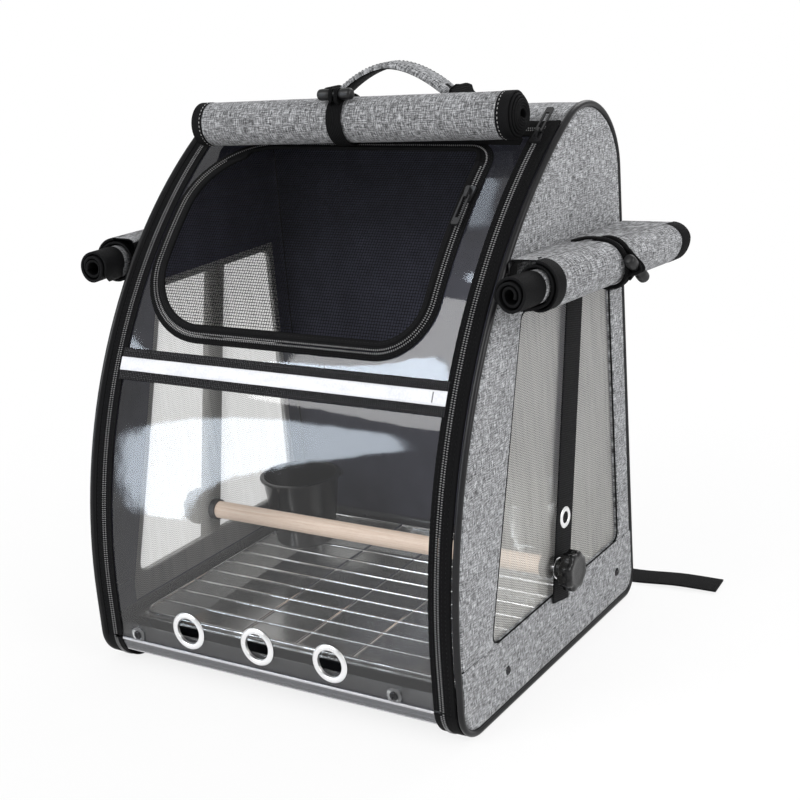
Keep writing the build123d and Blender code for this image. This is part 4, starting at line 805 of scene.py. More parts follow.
def door_zip():
    tapes, coils = Piece(), Piece()
    for way in (-1, 1):
        a, b = sorted((way * CLEAR_HALF, way * DOOR_HALF))
        tape(tapes, a, b, DOOR_LOW, DOOR_TOP, 0.2, FACE)
        teeth(coils, way * 152.45, DOOR_LOW + 1, DOOR_TOP - 2, 0.1, 1.9)
        stitches(coils, way * 149.6, DOOR_LOW, DOOR_TOP, 0.15, 1)
        stitches(coils, way * 147.4, DOOR_LOW, DOOR_TOP, 0.15, 1)
    cross_tape(tapes, -CLEAR_HALF, CLEAR_HALF, DOOR_TOP - 7, DOOR_TOP, 0.2, FACE)
    cross_teeth(coils, -151, 151, DOOR_TOP - 1.0, 0.1, 1.8)
    tapes.build("door_tapes", "front_door", [TAPE_CLOTH], "zip_tape", ["door_zip_tape"])
    coils.build("door_teeth", "front_door", [COIL_WITH_PAINTED_GLINT, THREAD_DARK], "zip_coil", ["door_zip_coil"], 0)


# ---- Mesh door outline ----
def outline(shrink, arc_count=14):
    """Points (x, v) round the mesh door, drawn in by shrink; every call has the same number of points."""
    half = (MESH_HIGH - MESH_LOW) / 2 - shrink
    left, right = MESH_LEFT + shrink, MESH_RIGHT - shrink
    corners = [(left, -half), (right, -half), (right, half), (left, half)]
    starts = (pi, -pi / 2, 0.0, pi / 2)
    points = []
    ends = []
    for (cx, cy), r0, start in zip(corners, MESH_CORNERS, starts):
        r = r0 - shrink
        sx, sy = (1 if cx < 0 else -1), (1 if cy < 0 else -1)
        ends.append(arc((cx + sx * r, cy + sy * r), r, start, start + pi / 2, arc_count))
    for k, bend in enumerate(ends):
        following = ends[(k + 1) % 4][0]
        a, b = np.array(bend[-1]), np.array(following)
        points += bend + [tuple(a + (b - a) * t) for t in np.linspace(0, 1, 22)[1:-1]]
    return np.array(points)


def on_mesh(xv, inset):
    """Points on the curved face for flat mesh door coordinates (x, v)."""
    xv = np.asarray(xv, float)
    s = S_MESH + RADIUS * np.arcsin(xv[..., 1] / (RADIUS - FACE))
    return on_front(xv[..., 0], s, inset)


def part_line(shrink, cut, lower, count):
    """Part of the mesh door's outline below or above a cut, in evenly spaced points."""
    line = outline(shrink)
    after = np.roll(line, -1, 0)
    up = np.nonzero((line[:, 1] <= cut) & (after[:, 1] > cut))[0][0]
    down = np.nonzero((line[:, 1] > cut) & (after[:, 1] <= cut))[0][0]
    ends = [line[k] + (after[k] - line[k]) * (cut - line[k, 1]) / (after[k, 1] - line[k, 1]) for k in (up,
            down)]
    if lower:
        run = [ends[1], *line[down + 1:], *line[:up + 1], ends[0]]
    else:
        run = [ends[0], *line[up + 1:down + 1], ends[1]]
    return resample(np.array(run), count)


FLAP_CUT, HEAD_CUT, TEETH_CUT = (V_FOLD - 0.25, True), (V_FOLD + 0.25, False), (V_FOLD - 4.0, True)


def ring_band(piece, section, slot=0, cut=None, narrow=1.0):
    """Band round the mesh door from a closed cross-section of (shrink, inset) pairs, whole or cut at the
    fold. narrow is the share of its width that the band keeps away from the cut."""
    first = section[0][0]
    if cut is None:
        lines = [outline(shrink) for shrink, _ in section]
    else:
        lines = [part_line(shrink, *cut, 240) for shrink, _ in section]
        slim = [part_line(first + (shrink - first) * narrow, *cut, 240) for shrink, _ in section]
        place_on = np.arange(240)
        share = np.clip(np.minimum(place_on, 239 - place_on) / 14.0, 0, 1)[:, None]
        lines = [a * (1 - share) + b * share for a, b in zip(lines, slim)]
    points = np.stack([on_mesh(line, inset) for line, (_, inset) in zip(lines, section)], 1)
    base = lengths(np.vstack([lines[0], lines[0][:1]]))[:-1]
    shrinks = np.array([s for s, _ in section])
    weave = np.stack(np.broadcast_arrays(shrinks[None], base[:, None]), -1)
    return piece.grid(points, weave, slot, loop=True, ring=cut is None, caps=None if cut is None else slot)


def ring_marks(piece, shrink, inset, pitch, size, slot=0, across=False, cut=None):
    """Beads spaced evenly round the mesh door, or along a part of it."""
    line = outline(shrink) if cut is None else part_line(shrink, *cut, 400)
    if cut is None:
        line = np.vstack([line, line[:1]])
    flat = resample(line, int(lengths(line)[-1] / pitch) + 1)
    flat, ahead = flat[:-1], flat[1:]
    points = on_mesh(flat, inset)
    along = unit(on_mesh(flat + 0.01 * unit(ahead - flat), inset) - points)
    s = S_MESH + RADIUS * np.arcsin(flat[:, 1] / (RADIUS - FACE))
    _, out = up_front(s)
    if across:
        along = np.cross(out, along)
    piece.beads(points, along, out, size, slot)


def mesh_door():
    tapes, marks = Piece(), Piece()
    ring_band(tapes, [(0, 0.5), (0.4, 0.2), (2.5, 0.15), (FRAME_TAPE - 0.3, 0.15), (FRAME_TAPE, 0.5),
                      (FRAME_TAPE, 1.0), (0, 1.0)])
    ring_marks(marks, 4.9, -0.2, 1.75, (1.15, 2.0, 1.3), 0)
    ring_marks(marks, 1.2, 0.1, 3.2, (2.2, 0.5, 0.45), 1)
    ring_marks(marks, 2.9, 0.1, 3.2, (2.2, 0.5, 0.45), 1)
    start = FRAME_TAPE + SPLIT
    mid, end = start + FLAP_TAPE * 0.42, start + FLAP_TAPE
    section = [(start, 0.5), (start + 0.3, 0.15), (mid, 0.1), (mid + 0.2, -0.5), (mid + 0.9, -1.0),
               (end - 1.2, -1.0),
               (end - 0.2, -0.3), (end, 0.6), (end - 0.3, 1.6), (start, 1.2)]
    filled = [(start - 0.6, 0.5)] + section[1:-1] + [(start - 0.6, 1.2)]
    ring_band(tapes, filled, 1, HEAD_CUT, 0.4)
    tapes.build("mesh_frame_tape", "front_door", [TAPE_CLOTH, BINDING], "zip_tape", ["mesh_zip_frame"])
    marks.build("mesh_frame_teeth", "front_door", [COIL_WITH_PAINTED_GLINT, THREAD_DARK], "zip_coil", sharp=0)

    binding, marks = Piece(), Piece()
    ring_band(binding, section, 0, FLAP_CUT)
    ring_marks(marks, start + 1.1, -0.2, 1.75, (1.15, 2.0, 1.3), 0, cut=TEETH_CUT)
    ring_marks(marks, end - 2.2, -1.1, 3.2, (2.2, 0.5, 0.45), 1, cut=TEETH_CUT)
    binding.build("mesh_flap_binding", "mesh_door", [BINDING], "black_binding", ["mesh_door_binding"])
    marks.build("mesh_flap_teeth", "mesh_door", [COIL_WITH_PAINTED_GLINT, THREAD_DARK], "zip_coil", sharp=0)
    net("mesh_door_net", "mesh_door", part_line(end - 2.5, *FLAP_CUT, 400), ["mesh_door_mesh"])
    net("mesh_head_net", "front_door", part_line(start + 1.0, *HEAD_CUT, 400), ())


def net(name, body, edge, replaces):
    """Open black netting, woven from separate threads."""
    pitch, radius = 2.3, 0.25
    closed = np.vstack([edge, edge[:1]])
    piece = Piece()

    def span(axis, value):
        a, b = closed[:-1], closed[1:]
        crossing = (a[:, axis] - value) * (b[:, axis] - value) <= 0
        a, b = a[crossing], b[crossing]
        t = (value - a[:, axis]) / np.where(np.abs(b[:, axis] - a[:, axis]) < 1e-9, 1e-9,
                                            b[:, axis] - a[:, axis])
        found = a[:, 1 - axis] + np.clip(t, 0, 1) * (b[:, 1 - axis] - a[:, 1 - axis])
        return found.min(), found.max()

    for axis in (0, 1):
        low, high = edge[:, axis].min() + 0.6, edge[:, axis].max() - 0.6
        for row, value in enumerate(np.arange(np.ceil(low / pitch), high / pitch) * pitch):
            a, b = span(axis, value)
            if b - a < 2 * pitch:
                continue
            index = np.arange(np.floor(a / pitch), np.ceil(b / pitch) + 1)
            run = np.clip(index * pitch, a, b)
            wave = 0.17 * np.where((index + row) % 2 == 0, 1, -1) * (1 if axis else -1)
            section = [(-radius, 0.0), (0.0, -radius * 0.8), (radius, 0.0), (0.0, radius * 0.8)]
            rows = []
            for across, lift in section:
                flat = np.empty((len(run), 2))
                flat[:, axis], flat[:, 1 - axis] = value + across, run
                rows.append(on_mesh(flat, 1.3 + wave + lift))
            weave = np.stack(np.broadcast_arrays(np.arange(4)[None] * 0.5, run[:, None]), -1)
            piece.grid(np.stack(rows, 1), weave, 0, loop=True)
    piece.build(name, body, [NET], "black_mesh", replaces, 0)


# ---- Clear front ----
def clear_front():
    x, s = stations(-150.4, 150.4, 2.0), stations(DOOR_LOW, DOOR_TOP - 2.8, 2.0)
    grid_x, grid_s = np.meshgrid(x, s)
    edge = np.minimum(150.4 - np.abs(grid_x), np.minimum(grid_s - DOOR_LOW, 40))
    inset = 1.4 + 0.12 * waves(grid_x, grid_s, 8, 150.0) * np.clip(edge / 30, 0, 1)
    points = on_front(grid_x, grid_s, inset)
    v = (RADIUS - FACE) * np.sin((grid_s - S_MESH) / RADIUS)
    keep = np.ones((len(s) - 1, len(x) - 1), bool)
    cx, cs, cv = (0.25 * (g[1:, 1:] + g[:-1, 1:] + g[1:, :-1] + g[:-1, :-1]) for g in (grid_x, grid_s, v))
    keep &= ~inside_outline(cx, cv, 3.0)
    for gx in GROMMETS:
        keep &= np.hypot(cx - gx, cs - GROMMET_Z) > 12.8
    for sx in FRONT_SCREWS:
        keep &= ~((np.abs(cx - sx) < 7.0) & (cs < SCREW_Z) | (np.hypot(cx - sx, cs - SCREW_Z) < 7.0))
    index = np.arange(points.shape[0] * points.shape[1]).reshape(points.shape[:2])
    quads = np.stack([index[:-1, :-1], index[:-1, 1:], index[1:, 1:], index[1:, :-1]], -1)[keep]
    used, quads = np.unique(quads, return_inverse=True)
    piece = Piece()
    piece.points, piece.weave = [points.reshape(-1, 3)[used]], [np.stack([grid_x, grid_s], -1).reshape(-1,
            2)[used]]
    piece.quads, piece.quad_slots = [quads.reshape(-1, 4)], [np.zeros(len(quads.reshape(-1, 4)), int)]
    piece.build("clear_sheet", "front_door", [PVC], "clear_sheet", ["clear_door"], 0)


def inside_outline(x, v, shrink):
    """Whether flat points lie inside the mesh door's outline drawn in by shrink."""
    line = outline(shrink)
    a, b = line, np.roll(line, -1, 0)
    cross = ((b[:, 0] - a[:, 0])[:, None] * (v.ravel() - a[:, 1][:, None])
             - (b[:, 1] - a[:, 1])[:, None] * (x.ravel() - a[:, 0][:, None]))
    return (cross > 0).all(0).reshape(x.shape)


def sill():
    piece = Piece()
    section = [(11.0, 1.6), (11.3, 0.9), (13.4, 0.75), (20.5, 0.75), (22.9, 0.7), (23.3, 0.2), (24.0, -0.1),
               (24.7, 0.2), (25.1, 0.8), (25.8, 0.9), (25.8, 1.7), (11.0, 1.9)]
    x = stations(-CLEAR_HALF, CLEAR_HALF, 4.0)
    section = np.array(section)
    points = on_front(x[:, None], section[None, :, 0], section[None, :, 1])
    weave = np.stack(np.broadcast_arrays(section[None, :, 0], x[:, None]), -1)
    # Slot 1, on the fold bead and the lower edge, takes the pale haze: a painted highlight for the bright
    # lines there.
    slots = [1, 1, 0, 0, 0, 1, 1, 1, 0, 0, 0, 0]
    piece.grid(points[::-1], weave, slots, loop=True, caps=0)
    for sx in FRONT_SCREWS:
        lathe(piece, (sx, FRONT + 1.2, SCREW_Z), (0, -1, 0),
              rounded([(0, 0), (6.6, 0), (6.6, 0.7), (0, 0.7)], 0.3, closed=False), 2, 32)
    piece.build("clear_sill", "root", [HAZY, HAZY_EDGE_PAINTED_HIGHLIGHT, CLEAR], "clear_sheet", ["front_sill"], 50)


def stripe():
    piece = Piece()
    low, high = STRIPE
    section = tape_section(low, high, -1.0, 0.2, 13)
    x = stations(-148.7, 148.7, 4.0)
    inset = section[None, :, 1] + 0.12 * waves(section[None, :, 0], x[:, None], 4, 40.0)
    points = on_front(x[:, None], section[None, :, 0], inset)
    weave = np.stack(np.broadcast_arrays(section[None, :, 0], x[:, None]), -1)
    points = points[::-1]
    weave = weave[::-1]
    piece.grid(points, weave, 0, loop=True, caps=0)
    band = tape_section(low + 7.2, high - 7.2, -1.25, -0.9, 7)
    points = on_front(x[:, None], band[None, :, 0], band[None, :, 1])[::-1]
    weave = np.stack(np.broadcast_arrays(band[None, :, 0], x[::-1, None]), -1)
    piece.grid(points, weave, 1, loop=True, caps=1)
    marks = Piece()
    for s in (low + 2.2, high - 2.2):
        xs = np.arange(-146, 146, 3.4)
        _, out = up_front(s)
        marks.beads(on_front(xs, s, -1.1), (1, 0, 0), out, (2.3, 0.5, 0.45))
    section = tape_section(137.0, 138.2, -1.5, -1.2, 5)
    s = stations(low + 9.0, high - 8.5, 1.5)
    points = on_front(section[None, :, 0], s[:, None], section[None, :, 1])
    piece.grid(points, np.stack(np.broadcast_arrays(section[None, :, 0], s[:, None]), -1), 2, loop=True,
               caps=2)
    piece.build("reflective_stripe", "front_door", [BAND, SILVER, SEAM_SHADE], "reflective",
                ["reflective_webbing"])
    marks.build("stripe_stitches", "front_door", [THREAD_GREY], "reflective", sharp=0)


def eyelet(piece, centre, axis, bore, outer, height, back=0.0):
    """Rolled metal ring with a rounded flange."""
    mid = (bore + outer) / 2
    shape = [(bore, back), (bore, height * 0.5), (bore + 0.9, height * 0.95), (mid, height * 1.12),
             (outer - 0.9, height * 0.75), (outer, height * 0.12), (outer - 0.3, 0.0), (bore + 1.0, back)]
    lathe(piece, centre, axis, rounded(shape, 0.5, 3), 0, 56, closed=True)


def rings():
    piece = Piece()
    for x in GROMMETS:
        eyelet(piece, (x, FRONT + FACE - 0.1, GROMMET_Z), (0, -1, 0), 10.6, 15.5, 1.5, -1.0)
        eyelet(piece, (x, FRONT + FACE + 0.9, GROMMET_Z), (0, 1, 0), 10.6, 14.5, 1.4, -0.5)
    piece.build("door_rings", "front_door", [RING], "chrome_ring", ["door_grommets"], 0)
    piece = Piece()
    for way, foot in ((1.0, 13.2 + 6.0), (-1.0, 13.2)):
        for y, z in ((PERCH_Y, PERCH_Z), (foot, PERCH_Z + 36.0)):
            eyelet(piece, (way * 171.8, y, z), (way, 0, 0), 4.6, 8.5, 1.0, -1.5)
    piece.build("strap_rings", "root", [RING], "chrome_ring", ["strap_eyelets"], 0)


# ---- Webbing ----
def strap(piece, points, up, width, thickness, slot=0):
    sweep(piece, points, up, webbing_section(width, thickness), slot, slot)


def curve(points, count):
    """Smooth line through the points."""
    points = np.asarray(points, float)
    t = np.concatenate([[0.0], np.cumsum(np.linalg.norm(np.diff(points, axis=0), axis=1) ** 0.5)])
    want = np.linspace(0, t[-1], count)
    ends = np.vstack([2 * points[0] - points[1], points, 2 * points[-1] - points[-2]])
    tt = np.concatenate([[t[0] - (t[1] - t[0])], t, [2 * t[-1] - t[-2]]])
    out = []
    for w in want:
        k = min(max(int(np.searchsorted(t, w, "right")) - 1, 0), len(points) - 2)
        p, q = ends[k:k + 4], tt[k:k + 4]
        a1 = (q[1] - w) / (q[1] - q[0]) * p[0] + (w - q[0]) / (q[1] - q[0]) * p[1]
        a2 = (q[2] - w) / (q[2] - q[1]) * p[1] + (w - q[1]) / (q[2] - q[1]) * p[2]
        a3 = (q[3] - w) / (q[3] - q[2]) * p[2] + (w - q[2]) / (q[3] - q[2]) * p[3]
        b1 = (q[2] - w) / (q[2] - q[0]) * a1 + (w - q[0]) / (q[2] - q[0]) * a2
        b2 = (q[3] - w) / (q[3] - q[1]) * a2 + (w - q[1]) / (q[3] - q[1]) * a3
        out.append((q[2] - w) / (q[2] - q[1]) * b1 + (w - q[1]) / (q[2] - q[1]) * b2)
    return np.array(out)


def perch_straps():
    for side, way, foot in (("right", 1.0, 12.0), ("left", -1.0, 6.0)):
        piece = Piece()
        z = stations(50.0, 298.0, 5.0)
        y = foot + 0.2 * (z - PERCH_Z)
        x = way * (171.1 + 0.35 * waves(z, z * 0, 6, 110.0))
        points = np.stack([x, y, z], -1)
        strap(piece, points, (way, 0, 0), 26.0, 1.6)
        piece.build("window_strap_" + side, "root", [WEBBING], "black_webbing", ["perch_strap_" + side])


def webbing():
    for side, way in SIDES:
        low, high = np.array([way * 146.0, 145.9, 26.0]), np.array([way * 72.0, 145.9, 132.5])
        points = low + (high - low) * np.linspace(0, 1, 30)[:, None]
        points[:, 1] += 0.5 * np.sin(np.linspace(0, pi, 30))
        piece = Piece()
        strap(piece, points, (0, 1, 0), 25.0, 1.8)
        patch = [low + (0, 1.0, -1.0), low + (high - low) * 0.09 + (0, 1.1, 0)]
        strap(piece, np.linspace(*patch, 6), (0, 1, 0), 28.0, 1.2, 1)
        piece.build("lower_strap_" + side, "root", [WEBBING, BINDING], "black_webbing",
                    ["lower_webbing_" + side])
    piece = Piece()
    near, width = 154.5, 25.0
    drop = curve([(72.0, near, 134.0), (72.0, near + 0.6, 90.0), (72.0, near + 0.4, 40.0),
                  (72.0, near + 1.2, 12.0),
                  (75.0, near + 5.5, 2.6)], 40)
    strap(piece, drop, (0, 1, 0), width, 1.8)
    lie = curve([(62.0, near + 12.5, 1.1), (110.0, near + 15.0, 1.4), (160.0, near + 15.5, 1.0),
                 (200.0, near + 19.0, 2.6),
                 (234.0, near + 22.0, 1.6)], 60)
    strap(piece, lie, (0, 0, 1), width, 1.8)
    short = curve([(-72.0, near, 134.0), (-72.0, near + 0.8, 80.0), (-72.0, near + 0.2, 22.5)], 30)
    strap(piece, short, (0, 1, 0), width, 1.8)
    piece.build("strap_tails", "root", [WEBBING], "black_webbing", ["webbing_tails"])


# ---- Rolled covers ----
def wind(piece, start, end, up, radii, turns, reach, thickness, phase, sense, bind=11.0, seed=0, columns=14,
         flat_share=0.04, taper=(1.0, 1.0), back_bind=None):
    """Cover rolled up on itself about the line start to end. reach(share) gives where its two edges lie
    along the axis in millimetres from start, for a share from 0 at the core to 1 at the outer end."""
    start, end = np.asarray(start, float), np.asarray(end, float)
    axis = unit(end - start)
    first = unit(np.asarray(up, float) - axis * (np.asarray(up, float) @ axis))
    second = np.cross(axis, first)
    count = int(turns * 44)
    share = np.linspace(0, 1, count)
    angle = phase + sense * (share - 1) * turns * 2 * pi
    mean = radii[0] + (radii[1] - radii[0]) * share
    wobble = 1 + flat_share * np.sin(2 * angle + 0.7) + 0.5 * flat_share * np.sin(3 * angle + 2.1 + seed)
    length = np.concatenate([[0], np.cumsum(mean[1:] * np.abs(np.diff(angle)))])
    a, b = reach(share)
    bind = np.broadcast_to(bind, share.shape)
    back_bind = bind if back_bind is None else back_bind + 0 * share
    inner_columns = np.linspace(0, 1, columns)
    along = [a, a + 0.5, a + bind - 0.4, a + bind]
    along += [a + bind + (b - a - bind - back_bind) * t for t in inner_columns[1:-1]]
    along += [b - back_bind, b - back_bind + 0.4, b - 0.5, b]
    along = np.stack(along, 1)
    m = along.shape[1]
    thick = np.full(m, thickness / 2)
    thick[[1, 2, m - 3, m - 2]] += 0.3
    thick[[0, m - 1]] *= 0.5
    swell = 0.25 * waves(along, (length[:, None] + 0 * along), 40 + seed, 50.0)
    cone = taper[0] + (taper[1] - taper[0]) * along / np.linalg.norm(end - start)
    radius_out = (mean * wobble)[:, None] * cone + thick + swell
    radius_in = (mean * wobble)[:, None] * cone - thick + swell

    def ring(radius):
        return (start + along[..., None] * axis
                + radius[..., None] * (np.cos(angle)[:, None, None] * first + np.sin(angle)[:, None,
                        None] * second))

    outer, inner = ring(radius_out), ring(radius_in)[:, ::-1]
    points = np.concatenate([outer, inner], 1)
    weave = np.stack([along, np.broadcast_to(length[:, None], along.shape)], -1)
    weave = np.concatenate([weave, weave[:, ::-1]], 1)
    body = [2, 2, 2] + [0] * (columns - 1) + [2, 2, 2]
    back = [2, 2, 2] + [1] * (columns - 1) + [2, 2, 2]
    slots = body + [2] + back + [2]
    if sense < 0:
        points, weave = points[::-1], weave[::-1]
    piece.grid(points, weave, slots, loop=True, caps=2)
    tips = [outer[-1], (a[-1], b[-1])]
    return axis, first, second, angle, (mean * wobble), a, b, length[-1], tips


def edge_stitches(piece, start, frame_of, place_at, low, high, slot=0, pitch=3.4, lift=1.2):
    """Stitches on the outer turn, place_at millimetres along the axis, between two shares of the roll."""
    axis, first, second, angle, mean = frame_of[:5]
    total = len(angle)
    idx = np.arange(int(low * total), int(high * total) - 1)
    along = np.asarray(place_at)[idx] if np.ndim(place_at) else np.full(len(idx), place_at)
    out = np.cos(angle[idx])[:, None] * first + np.sin(angle[idx])[:, None] * second
    line = np.asarray(start, float) + along[:, None] * axis + out * (mean[idx] + lift)[:, None]
    run = lengths(line)
    want = np.arange(1.0, run[-1], pitch)
    pts = np.stack([np.interp(want, run, line[:, k]) for k in range(3)], -1)
    outs = unit(np.stack([np.interp(want, run, out[:, k]) for k in range(3)], -1))
    tang = unit(np.cross(outs, axis))
    piece.beads(pts, tang, outs, (2.3, 0.55, 0.5), slot)


ROLL_LEFT, ROLL_RIGHT, ROLL_PLACE, ROLL_LIFT = -142.0, 150.0, 459.0, 21.2
TIE_X, ROLL_OUTER, TIE_THICK, TOGGLE_LIFT = -2.0, 18.5, 1.2, 4.2


def roll_end(x):
    share = (x - ROLL_LEFT) / (ROLL_RIGHT - ROLL_LEFT)
    y, z = profile(ROLL_PLACE - 5.0 + 10.0 * share, -ROLL_LIFT)
    return np.array([x, float(y), float(z)])


def front_roll():
    start, end = roll_end(ROLL_LEFT), roll_end(ROLL_RIGHT)
    _, out = up_front(ROLL_PLACE)
    span = np.linalg.norm(end - start)
    piece = Piece()
    turns, radii = 7.2, (3.6, 17.4)

    def reach(share):
        left = 2.6 * share ** 1.5 + 0.4 * np.sin(share * 37)
        return left, span - 0.2 - 5.6 * share ** 3 + 0.5 * np.sin(share * 41) - 0.5

    state = wind(piece, start, end, out, radii, turns, reach, 1.25, 2.62, 1, 10.5, 1, flat_share=0.02)
    seam = tape_section(456.0, 462.0, -4.6, FACE, 5)
    x = stations(-134.0, 142.0, 6.0)
    points = on_front(x[:, None], seam[None, :, 0], seam[None, :, 1])[::-1]
    piece.grid(points, np.stack(np.broadcast_arrays(seam[None, :, 0], x[::-1, None]), -1), 2, loop=True,
               caps=2)
    obj = piece.build("rolled_front_cover", "front_door", [GREY_ROLL, BLACK_LINING, BINDING],
                      "grey_melange", ["front_cover_roll"], 50)
    print("front cover length", round(float(state[7]), 1), "width", round(span, 1))
    marks = Piece()
    a, b = state[5], state[6]
    edge_stitches(marks, start, state, b - 8.2, 0.865, 1.0, lift=0.98)
    edge_stitches(marks, start, state, a + 8.2, 0.865, 1.0, lift=0.98)
    marks.build("front_cover_stitches", "front_door", [THREAD_WHITE], "black_binding", sharp=0)
    front_tie(state)


def ring_strap(piece, centre, axis, first, radius, width, thickness, low, high, slot=0, section=None):
    """Band or cord round a roll, between two angles."""
    second = np.cross(axis, first)
    turns = np.linspace(low, high, 60)
    out = np.cos(turns)[:, None] * first + np.sin(turns)[:, None] * second
    line = centre + out * radius
    rows = section if section is not None else np.array(webbing_section(width, thickness))
    points = line[:, None] + rows[None, :, :1] * axis + rows[None, :, 1:] * out[:, None]
    weave = np.stack(np.broadcast_arrays(rows[None, :, 0], (turns * radius)[:, None]), -1)
    piece.grid(points[::-1], weave, slot, loop=True, caps=slot)


def toggle(piece, centre, axis, length=31.0, radius=4.5):
    """Bar toggle with a slightly waisted middle that its elastic goes round."""
    h = length / 2
    half = [(0, -h), (radius * 0.66, -h + 0.2), (radius * 0.96, -h + 1.6), (radius, -h + 4.0),
            (radius * 0.97, -6.5),
            (radius * 0.8, -4.2), (radius * 0.76, 0.0)]
    shape = half + [(r, -v) for r, v in half[-2::-1]]
    lathe(piece, centre, axis, rounded(shape, 0.9, 3, closed=False), 0, 28)


def front_tie(state):
    axis = state[0]
    centre = roll_end(TIE_X)
    up = np.array([0.0, -sin(LEAN / 2), cos(LEAN / 2)])
    first = unit(up - axis * (up @ axis))
    band = Piece()
    low, high = -1.75, 3.55
    ring_strap(band, centre, axis, first, 19.2, 14.0, 1.4, low, high)
    loops = Piece()
    top = centre + first * (ROLL_OUTER + TIE_THICK + TOGGLE_LIFT)
    for way in (-1, 1):
        side = np.cross(axis, first)
        shift = axis * way * 2.6
        line = curve([centre + shift * 1.4 + first * 19.3 + side * -5.5,
                      centre + shift + first * 22.3 + side * -6.0,
                      top + shift + first * 4.3, centre + shift + first * 22.3 + side * 6.0,
                      centre + shift * 1.4 + first * 19.3 + side * 5.5], 30)
        sweep(loops, line, first, oval(3.4, 2.4, 10))
    loops.build("front_tie_loop", "toggle_front", [ELASTIC], "black_webbing")
    band.build("front_elastic", "front_door", [ELASTIC], "black_webbing", ["front_cover_tie"])
    bar = Piece()
    toggle(bar, top, axis)
    bar.build("front_bar_toggle", "toggle_front", [SATIN], "black_plastic", ["front_toggle"], 50)


SIDE_FRONT, SIDE_BACK, SIDE_TIE, SIDE_TAPER = 64.0, 286.0, 188.0, (1.14, 0.87)


def side_axis(y, way):
    """Point on a side roll's axis, y millimetres behind the front plane."""
    share = (y - SIDE_FRONT) / (SIDE_BACK - SIDE_FRONT)
    return np.array([way * (189.0 + 27.0 * share), FRONT + y, 312.0 - 6.0 * share])


def side_radius(y):
    """Radius of the outer turn, which is thicker at the front."""
    share = (y - SIDE_FRONT) / (SIDE_BACK - SIDE_FRONT)
    return 16.2 * (SIDE_TAPER[0] + (SIDE_TAPER[1] - SIDE_TAPER[0]) * share) + 0.75


def side_rolls():
    for side, way in SIDES:
        start, end = side_axis(SIDE_FRONT, way), side_axis(SIDE_BACK, way)
        span = np.linalg.norm(end - start)
        piece = Piece()
        turns = 4.3

        def reach(share):
            step = np.clip((share - 0.60) / 0.08, 0, 1)
            front = 0.6 + 2.4 * np.sin(share * 9.0) ** 2 + 31.0 * step * step * (3 - 2 * step)
            return front, span - 0.5 - 3.0 * np.abs(np.sin(share * 23))

        wide = np.linspace(0, 1, int(turns * 44))
        bind = 26.0 - 14.5 * np.clip((wide - 0.60) / 0.08, 0, 1)
        state = wind(piece, start, end, (0, 0, 1), (4.0, 16.2), turns, reach, 1.5, 0.05, -way, bind, 3,
                     flat_share=0.035, taper=SIDE_TAPER, back_bind=14.0)
        x0 = HALF + 0.4
        rows = []
        for y in stations(FRONT + 98.0, FRONT + 280.0, 6.0):
            centre = side_axis(y - FRONT, way)
            top = centre[2] + side_radius(y - FRONT) - 0.3
            sag = [(x0, top - 14.0), (x0 + 0.5, top - 6.0), (x0 + 1.6, top - 1.6), (x0 + 5.0, top - 0.2)]
            far = [(abs(centre[0]) * 0.5 + (x0 + 5.0) * 0.5, top + 0.1), (abs(centre[0]) + 1.0, top + 0.2)]
            line = np.array(sag + far)
            outer = [(x, z + 0.45) if k > 1 else (x + 0.9, z) for k, (x, z) in enumerate(line)]
            inner = [(x, z - 0.75) if k > 1 else (x, z) for k, (x, z) in enumerate(line)][::-1]
            rows.append([(way * x, y, z) for x, z in outer + inner])
        rows = np.array(rows)
        if way > 0:
            rows = rows[::-1]
        slots = [0] * 5 + [2] + [1] * 5 + [2]
        weave = np.stack(np.broadcast_arrays(rows[..., 1], (np.arange(12) * 4.0)[None]), -1)
        piece.grid(rows, weave, slots, loop=True, caps=2)
        hem = [[(way * (x + dx), FRONT + y, z) for x,
                z in ((x0 + 0.2, 313.2), (x0 + 2.2, 323.7), (x0 + 6.0, 328.4),
                                                          (192.0, 329.8))] for y,
                                                          dx in ((97.4, 0.6), (98.0, 1.2), (108.0, 1.2),
                                                                  (108.6, 0.6))]
        hem = np.array(hem if way > 0 else hem[::-1])
        piece.grid(hem[::-1], hem[::-1][..., 1:], 2)
        obj = piece.build("rolled_side_cover_" + side, "root", [GREY_ROLL, BLACK_LINING, BINDING],
                          "grey_melange",
                          ["side_cover_roll_" + side], 50)
        side_tie(side, way, state[0])


